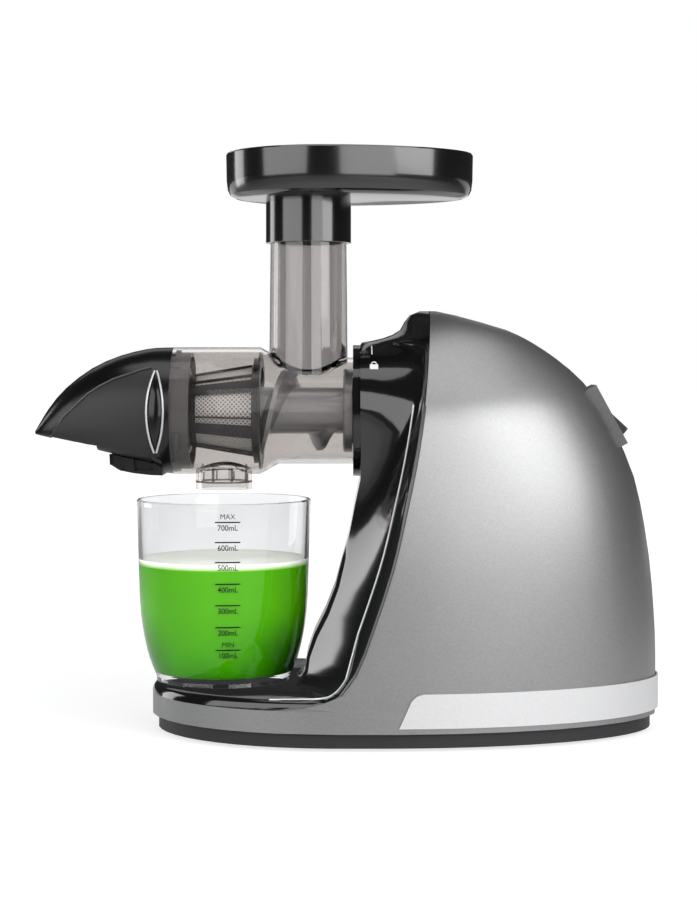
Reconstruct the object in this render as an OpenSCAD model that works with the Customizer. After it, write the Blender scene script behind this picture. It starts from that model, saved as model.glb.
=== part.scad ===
// Horizontal cold press juicer: motor housing with a jug platform, geared auger drive,
// clear juicing drum with chute and strainer, nose cap, hopper tray, jug and rocker switch.
// Millimetres, +Z up, +X towards the back of the housing, origin on the table under the
// middle of the bounding box.

/* [Housing] */
// Height of the drum and auger axis above the table
axis_z = 202; // [196:0.5:208]
// Widest part of the housing, across the machine
body_w = 174; // [166:1:184]
// Distance from the origin forward to the end of the jug platform
platform_len = 124.8; // [118:0.2:128]
// Distance from the origin back to the rear of the housing
rear_len = 196.6; // [188:0.2:206]
// Height of the glossy platform that the jug stands on
platform_z = 30.7; // [27:0.1:34]
// Height of the grey skirt round the platform
skirt_z = 24.5; // [21:0.1:26]
// Rise of the crown above the round snout
crown_rise = 20; // [16:0.5:25]
// Wall of the moulded housing parts
shell_wall = 3; // [2.4:0.1:3.6]
// Open joint between the cover and the shell
parting_gap = 0.5; // [0.3:0.05:0.8]
// Radius of the chrome bead along the joint
bead_r = 0.9; // [0.6:0.1:1.2]

/* [Base] */
// Thickness of the base plate
base_t = 8; // [6:0.5:9]
// Height of the rubber feet below the base plate
foot_h = 2; // [1.5:0.1:3]
// Radius of a rubber foot
foot_r = 8; // [6:0.5:10]
// How far the base plate is set in from the skirt
base_inset = 4; // [3:0.5:6]

/* [Trim band] */
// Lower edge of the silver band above the table
band_z = 14.5; // [13:0.1:16]
// Height of the silver band
band_h = 20.5; // [16:0.5:24]
// Thickness of the silver band
band_t = 0.9; // [0.6:0.1:1.4]
// Where the band starts along the side
band_x = 30; // [20:1:50]

/* [Drum] */
// Outer radius of the front of the drum
drum_r = 40.4; // [39:0.1:42]
// Outer radius of the barrel behind it
barrel_r = 33.9; // [33:0.1:35]
// Wall of the clear drum
drum_wall = 2.8; // [2.2:0.1:3.2]
// Front rim of the drum, forward of the origin
drum_front = 111; // [109:0.5:113]
// Length of the wide front part
drum_len = 55; // [53:0.5:57]
// Length of the taper from the wide part to the barrel
taper_len = 12; // [9:0.5:14]
// Front face of the socket, behind the origin
socket_face = 3.2; // [2:0.1:4]
// Twist that unlocks the drum
drum_twist = 30; // [20:1:35]

/* [Chute] */
// Distance of the chute axis forward of the origin
chute_x = 25.3; // [23:0.1:27]
// Outer radius at the top of the chute
chute_top_r = 24; // [23.5:0.1:24.6]
// Outer radius where the chute meets the barrel
chute_foot_r = 25.3; // [24.7:0.1:26]
// Clear radius of the chute
chute_bore_r = 21.5; // [20:0.1:22]
// Height of the chute's mouth above the drum axis
chute_h = 131; // [120:1:140]

/* [Juice spout] */
// Distance of the spout axis forward of the origin
spout_x = 79.4; // [77:0.1:81]
// Outer radius of the spout
spout_r = 18; // [16:0.1:19]
// Wall of the spout
spout_wall = 2.4; // [2:0.1:3]
// Drop of the spout's mouth below the drum axis
spout_drop = 50; // [48:0.5:52]

/* [Strainer] */
// Outer radius of the strainer's cage at its wide end
cage_r = 29.6; // [29:0.1:31]
// Outer radius at its narrow end
cage_tip_r = 22.9; // [22:0.1:24]
// Thickness of the cage bars
cage_t = 1.7; // [1.4:0.1:2]
// Thickness of the fine mesh
mesh_t = 0.6; // [0.4:0.1:0.8]
// Number of windows round the cage
windows = 6; // [5:1:7]

/* [Auger] */
// Radius of the auger's core in the barrel
core_r = 14.8; // [13:0.1:16]
// Radius over the flight in the barrel
flight_r = 26.7; // [26:0.1:26.9]
// Rise of the flight in one turn, in the barrel
flight_pitch = 48; // [42:1:52]
// Turns of the flight
flight_turns = 2.7; // [2.4:0.1:3]
// Running clearance between the flight and the mesh
flight_clear = 0.6; // [0.4:0.05:1]

/* [Nose cap] */
// Reach of the hood in front of the drum's rim
hood_len = 86; // [80:0.5:90]
// Wall of the hood
hood_wall = 2.4; // [2:0.1:3]
// Twist that unlocks the nose cap
cap_twist = 35; // [20:1:40]

/* [Hopper tray] */
// Distance from the chute axis to the tray's blunt front end
tray_front = 52.7; // [48:0.5:56]
// Distance from the chute axis to the tray's narrow back end
tray_back = 105.3; // [98:0.5:110]
// Half width of the tray
tray_half_w = 58; // [54:0.5:62]
// Depth of the tray over its floor
tray_h = 29; // [26:0.5:32]
// Wall and floor of the tray
tray_wall = 3; // [2.4:0.1:3.4]
// Length of the collar under the tray
collar_h = 28; // [24:1:32]
// Outer radius of the collar
collar_r = 27.2; // [26.8:0.1:28]

/* [Jug] */
// Radius of the jug's rim
jug_r = 55.7; // [52:0.1:57]
// Height of the jug
jug_h = 114.7; // [106:0.1:117]
// Wall of the jug
jug_wall = 2.4; // [2:0.1:3]
// Radius of the foot ring under the jug
jug_foot_r = 42.7; // [40:0.1:44]

/* [Gear train] */
// Module of the gear teeth
gear_m = 1.25; // [1.15:0.01:1.3]
// Teeth of each pinion
pinion_n = 12; // [12:4:16]
// Teeth of each gear
gear_n = 48; // [44:4:52]
// Backlash at each side of a tooth
backlash = 0.22; // [0.15:0.01:0.3]
// Width of the output gear
out_gear_w = 8; // [7:0.5:9]
// Width of the two faster gears
fast_gear_w = 6; // [5:0.5:7]

/* [Motor] */
// Radius of the motor's can
can_r = 31; // [29:0.5:32]
// Length of the motor's can
can_len = 62; // [56:1:66]
// Radius of the motor shaft
shaft_r = 3; // [2.5:0.1:3.5]
// Radius of the cooling fan
fan_r = 27; // [24:0.5:29]

/* [Switch] */
// Length of the rocker up the slope
rocker_l = 31; // [28:0.5:34]
// Width of the rocker
rocker_w = 19; // [16:0.5:22]
// Swing of the rocker to each side
rocker_swing = 10; // [6:1:12]

/* [Hidden] */
$fn = 64;

// ---- Clearances and small fixed sizes ----
rest_gap = 0.2;       // between a piece that lifts off and its seat
run_gap = 0.3;        // between pieces that turn against each other
seat_gap = 0.05;      // between pieces that are held together
lap = 1;              // how far a cut runs past the face that it opens

// ---- Housing ----
snout_r = 43.6;                       // round snout that carries the socket
flange_t = 4.4;                       // flange of the socket in front of the snout
snout_x = socket_face + flange_t + seat_gap;
top_z = axis_z + snout_r + crown_rise;
half_w = body_w / 2;
front_c = -7;                         // centre of the front ellipse of the plan
rear_c = 20;                          // centre of the rear ellipse of the plan
lip_z = foot_h + base_t + 1;          // lower edge of the shell
edge_round = 6;                       // rounding of the platform's edge
keel_z = platform_z + 0.1;
bulge = 2;                            // how far the hidden joint faces bow

function lerp(a, b, t) = a + (b - a) * t;
function clamp(v, a, b) = min(max(v, a), b);
// A smooth curve through stations [s, v]
function seg(t, s, i = 0) = i >= len(t) - 2 || s < t[i + 1][0] ? i : seg(t, s, i + 1);
function rate(t, i) =
    let (a = max(i - 1, 0), b = min(i + 1, len(t) - 1)) (t[b][1] - t[a][1]) / (t[b][0] - t[a][0]);
function curve(t, s) =
    let (i = seg(t, s), h = t[i + 1][0] - t[i][0],
         u = (clamp(s, t[i][0], t[i + 1][0]) - t[i][0]) / h)
    (2 * u^3 - 3 * u^2 + 1) * t[i][1] + (u^3 - 2 * u^2 + u) * rate(t, i) * h
    + (3 * u^2 - 2 * u^3) * t[i + 1][1] + (u^3 - u^2) * rate(t, i + 1) * h;
// Height of a station: 0 to 1 from the table to the axis, 1 to 2 from the axis to the crown
function at(s) = s <= 1 ? s * axis_z : axis_z + (s - 1) * (top_z - axis_z);

// Rear of the housing, as a share of rear_len
rear_tab = [for (p = [[0.05, 1], [0.27, 1], [0.4, 0.993], [0.54, 0.98],
    [0.73, 0.947], [0.84, 0.913], [1, 0.832], [1.22, 0.784], [1.42, 0.719], [1.64, 0.622],
    [1.8, 0.524], [1.89, 0.43], [1.95, 0.36], [2, 0.285]]) [at(p[0]), p[1] * rear_len]];
// Half width of the housing, as a share of half_w
width_tab = [for (p = [[0.05, 1], [0.2, 1], [0.4, 0.99], [0.6, 0.965],
    [0.8, 0.91], [1, 0.81], [1.25, 0.69], [1.45, 0.58], [1.65, 0.45], [1.82, 0.31],
    [1.93, 0.19], [2, 0.05]]) [at(p[0]), p[1] * half_w]];
// Joint between the cover and the shell, seen from the side
joint_tab = concat(
    [[skirt_z, -43], [skirt_z + 2.5, -24], [platform_z + 3.3, -5]],
    [for (p = [[0.24, 5.5], [0.32, 12], [0.53, 26.3], [0.69, 34.1], [0.86, 41.4],
        [1.11, 46.9], [1.57, 50], [2, 52]]) [at(p[0]), p[1]]]);
// Front of the cover on the centre line: the foot's fillet, the keel, the snout, the crown
front_tab = concat(
    [for (p = [[0, -33], [2, -30.5], [5, -28.5], [10, -27], [17, -26]]) [keel_z + p[0], p[1]]],
    [for (p = [[0.3, -21.5], [0.34, -17.5], [0.4, -11.5], [0.46, -7.5], [0.53, -4], [0.59, -0.5],
        [0.65, 2], [0.71, 4.3], [0.785, snout_x], [1, snout_x]]) [at(p[0]), p[1]]],
    [[axis_z + 0.9 * snout_r, snout_x]],
    [for (p = [[0, 9], [0.04, 14], [0.1, 19.8], [0.2, 26.2], [0.36, 32.6], [0.65, 36],
        [0.87, 39.5], [1, 46]]) [axis_z + snout_r + p[0] * crown_rise, p[1]]]);
// Half width of the keel below the axis
keel_tab = [[0, 30], [at(0.3), 24], [at(0.5), 22], [at(0.7), 27], [at(0.86), 36], [axis_z, snout_r]];
// Sharpness of the flare beside the keel and the snout
flare_tab = [[0, 1.2], [at(0.5), 1.4], [at(0.75), 1.9], [axis_z, 2.5], [top_z, 2]];

// Each of these is inset by e, so that e = 0 is the outside and e = shell_wall the cavity
function rear_x(z, e = 0) = curve(rear_tab, z + e) - e;
function wide(z, e = 0) = curve(width_tab, z + e) - e;
function joint_x(z) = curve(joint_tab, z);
function front_x(z, e = 0) =
    max(curve(front_tab, z + e), z + e > at(0.785) && z + e < axis_z + snout_r ? snout_x : -platform_len) + e;
// Half width of the plan outline at x
function plan_y(z, x, e = 0) =
    let (u = x > rear_c ? (x - rear_c) / (rear_x(z, e) - rear_c)
           : x < front_c ? (front_c - x) / (front_c + platform_len - e) : 0)
    wide(z, e) * sqrt(max(0, 1 - u * u));
function keel_w(z) = z < axis_z ? curve(keel_tab, z) : sqrt(max(0, snout_r^2 - (z - axis_z)^2));
// Surface of the cover at height z and half width y, where w is the half width at the joint
function cover_x(z, y, w, e) =
    let (c = min(keel_w(z + e), 0.9 * w), t = clamp((y - c) / (w - c), 0, 1),
         s = clamp((z + e - axis_z - snout_r + 6) / 8, 0, 1),
         flare = 1 - (1 - t)^curve(flare_tab, z), bow = (y / w)^1.7)
    lerp(front_x(z, e), joint_x(z), lerp(flare, min(bow, 1), s));

flat_n = 5;    // steps across the keel
flare_n = 9;   // steps across the flare
chord_n = 3;   // steps across half of a hidden joint face
rear_n = 10;   // steps from the joint to the rear
skirt_n = 8;   // steps round half of the skirt's front
// Points of a joint face, from half width w to the middle
function chord(x, w, z, out) =
    [for (i = [1:chord_n]) let (y = w * (1 - i / chord_n)) [x + out * (1 - (y / w)^2), y, z]];
// Plan outline from the front end back to x1, in n steps
function skirt_pts(z, x1, n, e, in = 0) =
    let (x0 = -platform_len + e)
    [for (j = [0:n]) let (x = x0 + (x1 - x0) * (1 - cos(90 * j / n)),
                          g = in * sqrt(clamp(1.6 * (1 - j / n), 0, 1)))
        [front_c + (x - front_c) * (1 - g / platform_len), plan_y(z, x, e) * (1 - g / half_w), z]];
// Section of the cover: under the platform's top it follows the skirt, above it the keel
function cover_half(z, e, x_joint) =
    let (w = plan_y(z, x_joint, e), c = clamp(keel_w(z + e), 0.25 * w, 0.9 * w),
         r = edge_round - e / 2, up = clamp((z + e - skirt_z) / (platform_z - skirt_z), 0, 1),
         n = flat_n + flare_n)
    concat(
        z + e <= platform_z + 0.01 ?
            skirt_pts(z, x_joint, n, e, r * (1 - sqrt(1 - up * up)))
          : [for (j = [0:n])
                let (y = j <= flat_n ? c * j / flat_n
                       : c + (w - c) * ((j - flat_n) / flare_n)^1.2)
                [j == n ? x_joint : cover_x(z, y, w, e), y, z]],
        chord(x_joint, w, z, e > 0 ? 4 : bulge));
// Section of the shell: below the skirt's top it runs right round
function shell_half(z, e, x_joint) =
    let (w = plan_y(z, x_joint, e), x1 = rear_x(z, e))
    concat(
        z <= skirt_z + (e > 0 ? lap : 0) ? skirt_pts(z, x_joint, skirt_n, e)
          : [for (j = [0:skirt_n]) let (y = w * j / skirt_n)
                [x_joint + bulge * (1 - (y / w)^2) - (e > 0 ? 2 * bulge : 0), y, z]],
        [for (i = [1:rear_n]) let (x = x1 - (x1 - x_joint) * (1 - cos(90 * (1 - i / rear_n))))
            [x, i == rear_n ? 0 : plan_y(z, x, e), z]]);

// A solid through symmetric sections, each given as its half from the front to the back
module symmetric_loft(halves) {
    n = len(halves[0]);
    m = len(halves);
    ring = 2 * n - 2;
    pts = [for (h = halves) each concat(h, [for (i = [n - 2:-1:1]) [h[i].x, -h[i].y, h[i].z]])];
    walls = [for (k = [0:m - 2], i = [0:ring - 1])
        let (a = k * ring + i, b = k * ring + (i + 1) % ring) each [[a, b, b + ring], [a, b + ring, a + ring]]];
    function strip(k, flip) = [for (i = [0:n - 2])
        let (a = k + i, b = k + i + 1, c = k + (ring - i) % ring, d = k + ring - i - 1,
             f = i == 0 ? [[a, b, d]] : i == n - 2 ? [[a, b, c]] : [[a, b, d], [a, d, c]])
        each [for (t = f) flip ? [t[2], t[1], t[0]] : t]];
    polyhedron(pts, concat(walls, strip(0, true), strip((m - 1) * ring, false)));
}

module along_x(z = axis_z) { translate([0, 0, z]) rotate([0, 90, 0]) children(); }
// A turned ring about the drum's axis, from x0 to x1
module ring_x(x0, x1, r1, r0 = 0, z = axis_z) {
    along_x(z) translate([0, 0, x0]) difference() {
        cylinder(r = r1, h = x1 - x0);
        if (r0 > 0) translate([0, 0, -lap]) cylinder(r = r0, h = x1 - x0 + 2 * lap);
    }
}
// A turned profile about the drum's axis: points are [radius, x]
module turned(pts, z = axis_z) { along_x(z) rotate_extrude() polygon(pts); }
// A sector of a ring about the drum's axis. Angle 180 points up, and a larger angle turns
// towards the front of the machine's left side, as a positive twist does.
module sector_x(x0, x1, r0, r1, a0, a1) {
    along_x() translate([0, 0, x0]) rotate([0, 0, a0]) rotate_extrude(angle = a1 - a0)
        translate([r0, 0]) square([r1 - r0, x1 - x0]);
}

// ---- Bayonets ----
lugs = [180, 300, 60];
lug_h = 2;            // height of the drum's lugs
lug_half = 9;         // half width of a lug, in degrees
lug_play = 1.5;       // free angle beside a lug
lug_x = socket_face + 6;
lug_t = 4;            // thickness of a lug along the axis
socket_back = socket_face + 18.6;
groove_r = barrel_r + lug_h + run_gap;
socket_bore_r = barrel_r + run_gap + 0.1;
sleeve_r = groove_r + 2.4;
flange_r = snout_r - 1.8;

// Track of one bayonet lug: the groove that the lug turns in, and its way in from x_in
module bayonet(x_in, x_lug, t, bore_r, r, a, twist) {
    a0 = a - lug_half - lug_play;
    a1 = a + lug_half + lug_play;
    sector_x(x_lug - run_gap, x_lug + t + run_gap, bore_r - lap, r, a0, a1 + twist);
    sector_x(x_in, x_lug + t / 2, bore_r - 1.5 * lap, r - seat_gap, a0 + twist, a1 + twist - 0.5);
}

module drum_socket() {
    color("#101012") difference() {
        union() {
            ring_x(socket_face, socket_face + flange_t, flange_r, socket_bore_r);
            ring_x(socket_face + flange_t - seat_gap, socket_back, sleeve_r, socket_bore_r);
        }
        for (a = lugs) bayonet(socket_face - lap, lug_x, lug_t, socket_bore_r, groove_r, a, drum_twist);
    }
}

// ---- Housing shells ----
levels = concat([for (h = [2, 4]) skirt_z + h], [platform_z - 0.8, platform_z],
    [for (h = [0, 1.5, 4, 9, 17]) keel_z + h],
    [for (s = [0.3, 0.37, 0.45, 0.54, 0.63, 0.71, 0.79, 0.87, 0.94, 1]) at(s)],
    [for (f = [0.22, 0.42, 0.6, 0.76, 0.88, 0.96, 1]) axis_z + f * snout_r],
    [for (f = [0.06, 0.14, 0.25, 0.4, 0.65, 0.87, 1]) axis_z + snout_r + f * crown_rise]);
shell_levels = concat([lip_z, skirt_z, skirt_z + 0.01], levels);
cover_levels = concat([skirt_z + seat_gap], levels);
in_top = platform_z - shell_wall;     // ceiling under the platform
cover_in = concat([skirt_z - lap, in_top],
    [in_top + 0.3, in_top + 4, in_top + 16],
    [for (s = [0.35, 0.5, 0.64, 0.79, 0.9, 1]) at(s)],
    [for (f = [0.4, 0.7, 0.88]) axis_z + f * snout_r],
    [for (f = [-0.12, 0, 0.3, 0.7]) axis_z + snout_r + f * crown_rise]);

// ---- Switch, on the slope behind the crown ----
sw_z = at(0.985);
sw_x = rear_x(sw_z);
sw_tilt = atan2(rear_x(sw_z - 6) - rear_x(sw_z + 6), 12);
sw_wall = 5.5;                        // bezel beside the rocker
sw_proud = 2.4;                       // how far the bezel stands out
sw_deep = 10;                         // how far it reaches in
pivot_in = 1;                         // rocker pivot under the surface
sw_cut = sw_deep + 4 * shell_wall;    // depth of the hole for the switch
pivot_r = 1.5;
module at_switch() { translate([sw_x, 0, sw_z]) rotate([0, 90 - sw_tilt, 0]) children(); }
module block(l, w, z0, z1) { translate([-l / 2, -w / 2, z0]) cube([l, w, z1 - z0]); }
bezel_l = rocker_l + 2 * sw_wall;
bezel_w = rocker_w + 2 * sw_wall - 4;

module switch_bezel() {
    color("#9a9a9c") at_switch() difference() {
        block(bezel_l, bezel_w, -sw_deep, sw_proud);
        block(rocker_l + 2 * run_gap, rocker_w + 2 * run_gap, -sw_deep - lap, sw_proud + lap);
        translate([0, 0, -pivot_in]) rotate([90, 0, 0])
            cylinder(r = pivot_r + 0.1, h = rocker_w + 4, center = true);
    }
}
module switch_body() {
    color("#202022") at_switch() union() {
        block(rocker_l - 3, rocker_w + 2, -sw_deep - 11, -sw_deep - seat_gap);
        for (x = [-7, 0, 7]) translate([x, 0, 0]) block(0.8, 6, -sw_deep - 18, -sw_deep - 10);
    }
}
module switch_rocker() {
    color("#17171a") at_switch() translate([0, 0, -pivot_in]) rotate([0, -rocker_swing, 0]) {
        rotate([90, 0, 0]) intersection() {
            cylinder(r = rocker_l / 2, h = rocker_w, center = true);
            translate([0, 0, -rocker_w]) linear_extrude(2 * rocker_w)
                polygon([[-rocker_l, -5], [rocker_l, -5], [rocker_l, 8.2], [0, 3.6], [-rocker_l, 8.2]]);
        }
        rotate([90, 0, 0]) cylinder(r = pivot_r, h = rocker_w + 3, center = true);
    }
}

module main_shell() {
    color("#8c8c8e") difference() {
        symmetric_loft([for (z = shell_levels) shell_half(z, 0, joint_x(z) + parting_gap / 2)]);
        symmetric_loft([for (z = concat([lip_z - lap, skirt_z + lap, skirt_z + lap + 0.01],
            [for (s = [0.3, 0.6, 0.85, 1.1, 1.4, 1.65, 1.82]) at(s)],
            [top_z - shell_wall - 3])) shell_half(z, shell_wall, joint_x(z) - 6)]);
        at_switch() block(bezel_l + run_gap, bezel_w + run_gap, -sw_cut, sw_cut);
    }
}
module front_cover() {
    color("#141416") difference() {
        symmetric_loft([for (z = cover_levels) cover_half(z, 0, joint_x(z) - parting_gap / 2)]);
        symmetric_loft([for (z = cover_in) cover_half(z, shell_wall, joint_x(z) + 5)]);
        ring_x(snout_x - lap, snout_x + 30, sleeve_r + seat_gap);
    }
}
// A round bead swept along a path
module swept(path, r, sides = 5) {
    m = len(path);
    pts = [for (k = [0:m - 1]) let (d = path[min(k + 1, m - 1)] - path[max(k - 1, 0)],
              t = d / norm(d), u = cross([0, 1, 0], t) / norm(cross([0, 1, 0], t)), v = cross(t, u))
        each [for (i = [0:sides - 1]) path[k] + r * (cos(360 * i / sides) * u + sin(360 * i / sides) * v)]];
    polyhedron(pts, concat(
        [[for (i = [0:sides - 1]) sides - 1 - i], [for (i = [0:sides - 1]) (m - 1) * sides + i]],
        [for (k = [0:m - 2], i = [0:sides - 1]) let (a = k * sides + i, b = k * sides + (i + 1) % sides)
            each [[a, b, b + sides], [a, b + sides, a + sides]]]));
}
module edge_bead() {
    color("#d8d8da") for (side = [-1, 1])
        swept([for (s = [0.17:0.06:1.1]) let (z = at(s), x = joint_x(z))
            [x, side * (plan_y(z, x) + bead_r + 2 * seat_gap), z]], bead_r);
}
// Plan outline of the footprint, inset by e
function footprint(e) =
    let (front = skirt_pts(skirt_z, rear_c, 14, e),
         back = [for (i = [1:20]) let (x1 = rear_x(skirt_z, e), x = x1 - (x1 - rear_c) * (1 - cos(90 * (1 - i / 20))))
             [x, i == 20 ? 0 : plan_y(skirt_z, x, e)]],
         h = concat([for (p = front) [p.x, p.y]], back))
    concat(h, [for (i = [len(h) - 2:-1:1]) [h[i].x, -h[i].y]]);
module outline_ring(z0, z1, e_out, e_in) {
    translate([0, 0, z0]) difference() {
        linear_extrude(z1 - z0) polygon(footprint(e_out));
        translate([0, 0, -lap]) linear_extrude(z1 - z0 + 2 * lap) polygon(footprint(e_in));
    }
}
band_slant = 11;      // lean of the band's front end
module silver_band() {
    color("#d9dadc") intersection() {
        outline_ring(band_z, band_z + band_h, -run_gap - band_t, -run_gap);
        translate([0, half_w * 2, 0]) rotate([90, 0, 0]) linear_extrude(4 * half_w)
            polygon([[band_x, band_z - lap], [band_x + band_slant * 0.72, band_z + band_h - 4],
                [band_x + band_slant, band_z + band_h - 1.2], [band_x + band_slant + 4, band_z + band_h],
                [2 * rear_len, band_z + band_h], [2 * rear_len, band_z - lap]]);
    }
}

// ---- Gear train ----
pressure = 20;
axis_b = axis_z - gear_m * (pinion_n + gear_n) / 2;
gear_gap = 2;                         // between the planes of the gears
case_x = socket_back + 1.2;           // front face of the gearbox
case_wall = 3;
out_x = case_x + case_wall + 1;
second_x = out_x + out_gear_w + gear_gap;
first_x = second_x + fast_gear_w + gear_gap;
lid_x = first_x + fast_gear_w + gear_gap;
lid_t = 3;
gear_tip = 0.75;                      // tooth tips above the pitch circle, in modules
pinion_tip = 1;
pin_r = 3;
pin_gap = 0.15;
case_in_r = gear_m * (gear_n / 2 + pinion_tip) + 1.2;
case_r = case_in_r + 2.6;
hub_r = 14;
bush_r = 18;
hex_af = 14;
hex_play = 0.2;

function inv(a) = tan(a) * 180 / PI - a;
function tooth_half(n, r) =
    let (p = n * gear_m / 2, b = p * cos(pressure))
    90 / n - backlash / p * 180 / PI + inv(pressure) - inv(r > b ? acos(b / r) : 0);
// Outline of a gear with involute flanks; tip and root are in modules from the pitch circle
function gear_outline(n, tip, root, turn) =
    let (p = n * gear_m / 2, r0 = p - root * gear_m, r1 = max(p * cos(pressure), r0 + 0.1),
         r3 = p + tip * gear_m, rs = [r1, p, r3])
    [for (k = [0:n - 1]) let (a = 360 * k / n + turn) each concat(
        [let (h = tooth_half(n, r1) * 1.08) r0 * [cos(a - h), sin(a - h)]],
        [for (r = rs) let (h = tooth_half(n, r)) r * [cos(a - h), sin(a - h)]],
        [for (i = [2:-1:0]) let (r = rs[i], h = tooth_half(n, r)) r * [cos(a + h), sin(a + h)]],
        [let (h = tooth_half(n, r1) * 1.08) r0 * [cos(a + h), sin(a + h)]])];
module gear(n, x0, w, z, big) {
    along_x(z) translate([0, 0, x0]) linear_extrude(w)
        polygon(gear_outline(n, big ? gear_tip : pinion_tip, big ? 1.25 : 1, big ? 180 / n : 0));
}
module hex_x(x0, x1, af) {
    along_x() translate([0, 0, x0]) cylinder(r = af / 2 / cos(30), h = x1 - x0, $fn = 6);
}
module stadium(x0, x1, r) {
    ring_x(x0, x1, r);
    ring_x(x0, x1, r, z = axis_b);
    translate([x0, -r, axis_b]) cube([x1 - x0, 2 * r, axis_z - axis_b]);
}
web_in = 17;          // ring of lightening holes in the output gear
module output_gear() {
    color("#d8d2c0") difference() {
        union() {
            gear(gear_n, out_x, out_gear_w, axis_z, true);
            ring_x(case_x - 1, out_x + out_gear_w, hub_r);
        }
        hex_x(case_x - 2, out_x + out_gear_w + lap, hex_af + 2 * hex_play);
        for (a = [0:60:300]) along_x() rotate([0, 0, a]) translate([web_in + 4, 0, out_x - lap])
            cylinder(r = 3.6, h = out_gear_w + 2 * lap);
    }
}
module cluster(z, gear_x, pin_x, pin_w) {
    difference() {
        union() {
            gear(gear_n, gear_x, fast_gear_w, z, true);
            gear(pinion_n, pin_x, pin_w, z, false);
        }
        ring_x(pin_x - lap, gear_x + fast_gear_w + lap, pin_r + pin_gap, z = z);
    }
}
module second_cluster() { color("#e2ddcd") cluster(axis_b, second_x, out_x, second_x - out_x + 0.5); }
module first_cluster() { color("#e2ddcd") cluster(axis_z, first_x, second_x - 0.5, first_x - second_x + 1); }
module gear_pins() {
    color("#b9bcc0") {
        ring_x(case_x + seat_gap, second_x + fast_gear_w + 1, pin_r, z = axis_b);
        ring_x(second_x - 1, lid_x + lid_t, pin_r);
    }
}
boss_r = 6;
module gearbox_case() {
    color("#3a3d40") difference() {
        union() {
            difference() {
                stadium(case_x, lid_x - seat_gap, case_r);
                stadium(case_x + case_wall, lid_x + lap, case_in_r);
            }
            ring_x(case_x, case_x + case_wall + 0.6, boss_r, z = axis_b);
        }
        ring_x(case_x - lap, case_x + case_wall + lap, bush_r + seat_gap);
        ring_x(case_x - lap, case_x + case_wall + lap, pin_r + seat_gap, z = axis_b);
    }
}
module gearbox_lid() {
    color("#3a3d40") difference() {
        union() {
            stadium(lid_x, lid_x + lid_t, case_r);
            ring_x(lid_x - 1, lid_x + lid_t, boss_r);
        }
        ring_x(lid_x - 2, lid_x + lid_t + lap, pin_r + seat_gap);
        ring_x(lid_x - lap, lid_x + lid_t + lap, shaft_r + 1, z = axis_b);
        for (z = [axis_z + case_r - 6, axis_b - case_r + 6])
            ring_x(lid_x + lid_t - 1.4, lid_x + lid_t + lap, 2.6, z = z);
    }
}
module output_bush() { color("#b08d57") ring_x(case_x, case_x + case_wall, bush_r, hub_r + pin_gap); }

// ---- Motor ----
can_x = lid_x + lid_t + 1;
can_wall = 2;
cap_t = 5;
core_x = can_x + 12;                  // front of the laminated core
core_l = 36;
core_out_r = 19;
slots = 9;
magnet_in_r = core_out_r + 0.8;
fan_x = can_x + can_len + cap_t + 4;
fan_w = 9;
blades = 9;
module rotor() {
    color("#b87333") {
        gear(pinion_n, first_x - 0.5, fast_gear_w + 1, axis_b, false);
        ring_x(first_x, fan_x + fan_w, shaft_r, z = axis_b);
        difference() {
            ring_x(core_x, core_x + core_l, core_out_r, z = axis_b);
            for (i = [0:slots - 1]) along_x(axis_b) rotate([0, 0, 360 * i / slots])
                translate([9, -1.6, core_x - lap]) cube([12, 3.2, core_l + 2 * lap]);
        }
        ring_x(core_x + core_l + 3, core_x + core_l + 11, 9, z = axis_b);
    }
}
module cooling_fan() {
    color("#2b2b2e") difference() {
        union() {
            ring_x(fan_x, fan_x + fan_w - 1, 8, z = axis_b);
            ring_x(fan_x, fan_x + 1.6, fan_r, z = axis_b);
            for (i = [0:blades - 1]) along_x(axis_b) rotate([0, 0, 360 * i / blades])
                translate([7, -0.8, fan_x + 1]) rotate([0, 0, 12]) cube([fan_r - 8, 1.6, fan_w - 2]);
        }
        ring_x(fan_x - lap, fan_x + fan_w + lap, shaft_r + seat_gap, z = axis_b);
    }
}
module motor_can() {
    color("#9b9da1") difference() {
        ring_x(can_x, can_x + can_len, can_r, z = axis_b);
        ring_x(can_x + 3, can_x + can_len + lap, can_r - can_wall, z = axis_b);
        ring_x(can_x - lap, can_x + 3 + lap, shaft_r + 0.1, z = axis_b);
        for (a = [45:90:315]) along_x(axis_b) rotate([0, 0, a])
            translate([can_r - 8, -4, can_x + can_len - 16]) cube([12, 8, 10]);
    }
}
module field_magnets() {
    color("#4a4a4c") for (a = [0, 180]) along_x(axis_b) translate([0, 0, core_x])
        rotate([0, 0, a - 65]) rotate_extrude(angle = 130)
            translate([magnet_in_r, 0]) square([can_r - can_wall - seat_gap - magnet_in_r, core_l]);
}
module motor_end_cap() {
    color("#26282a") difference() {
        union() {
            ring_x(can_x + can_len + seat_gap, can_x + can_len + cap_t, can_r, z = axis_b);
            for (s = [-1, 1]) translate([can_x + can_len - 13, s * 15 - 5, axis_b - 4]) cube([13.5, 10, 8]);
        }
        ring_x(can_x + can_len - lap, can_x + can_len + cap_t + lap, shaft_r + 0.1, z = axis_b);
        for (a = [0:60:300]) along_x(axis_b) rotate([0, 0, a + 30])
            translate([19, 0, can_x + can_len - lap]) cylinder(r = 4, h = cap_t + 2 * lap);
    }
}

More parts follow.
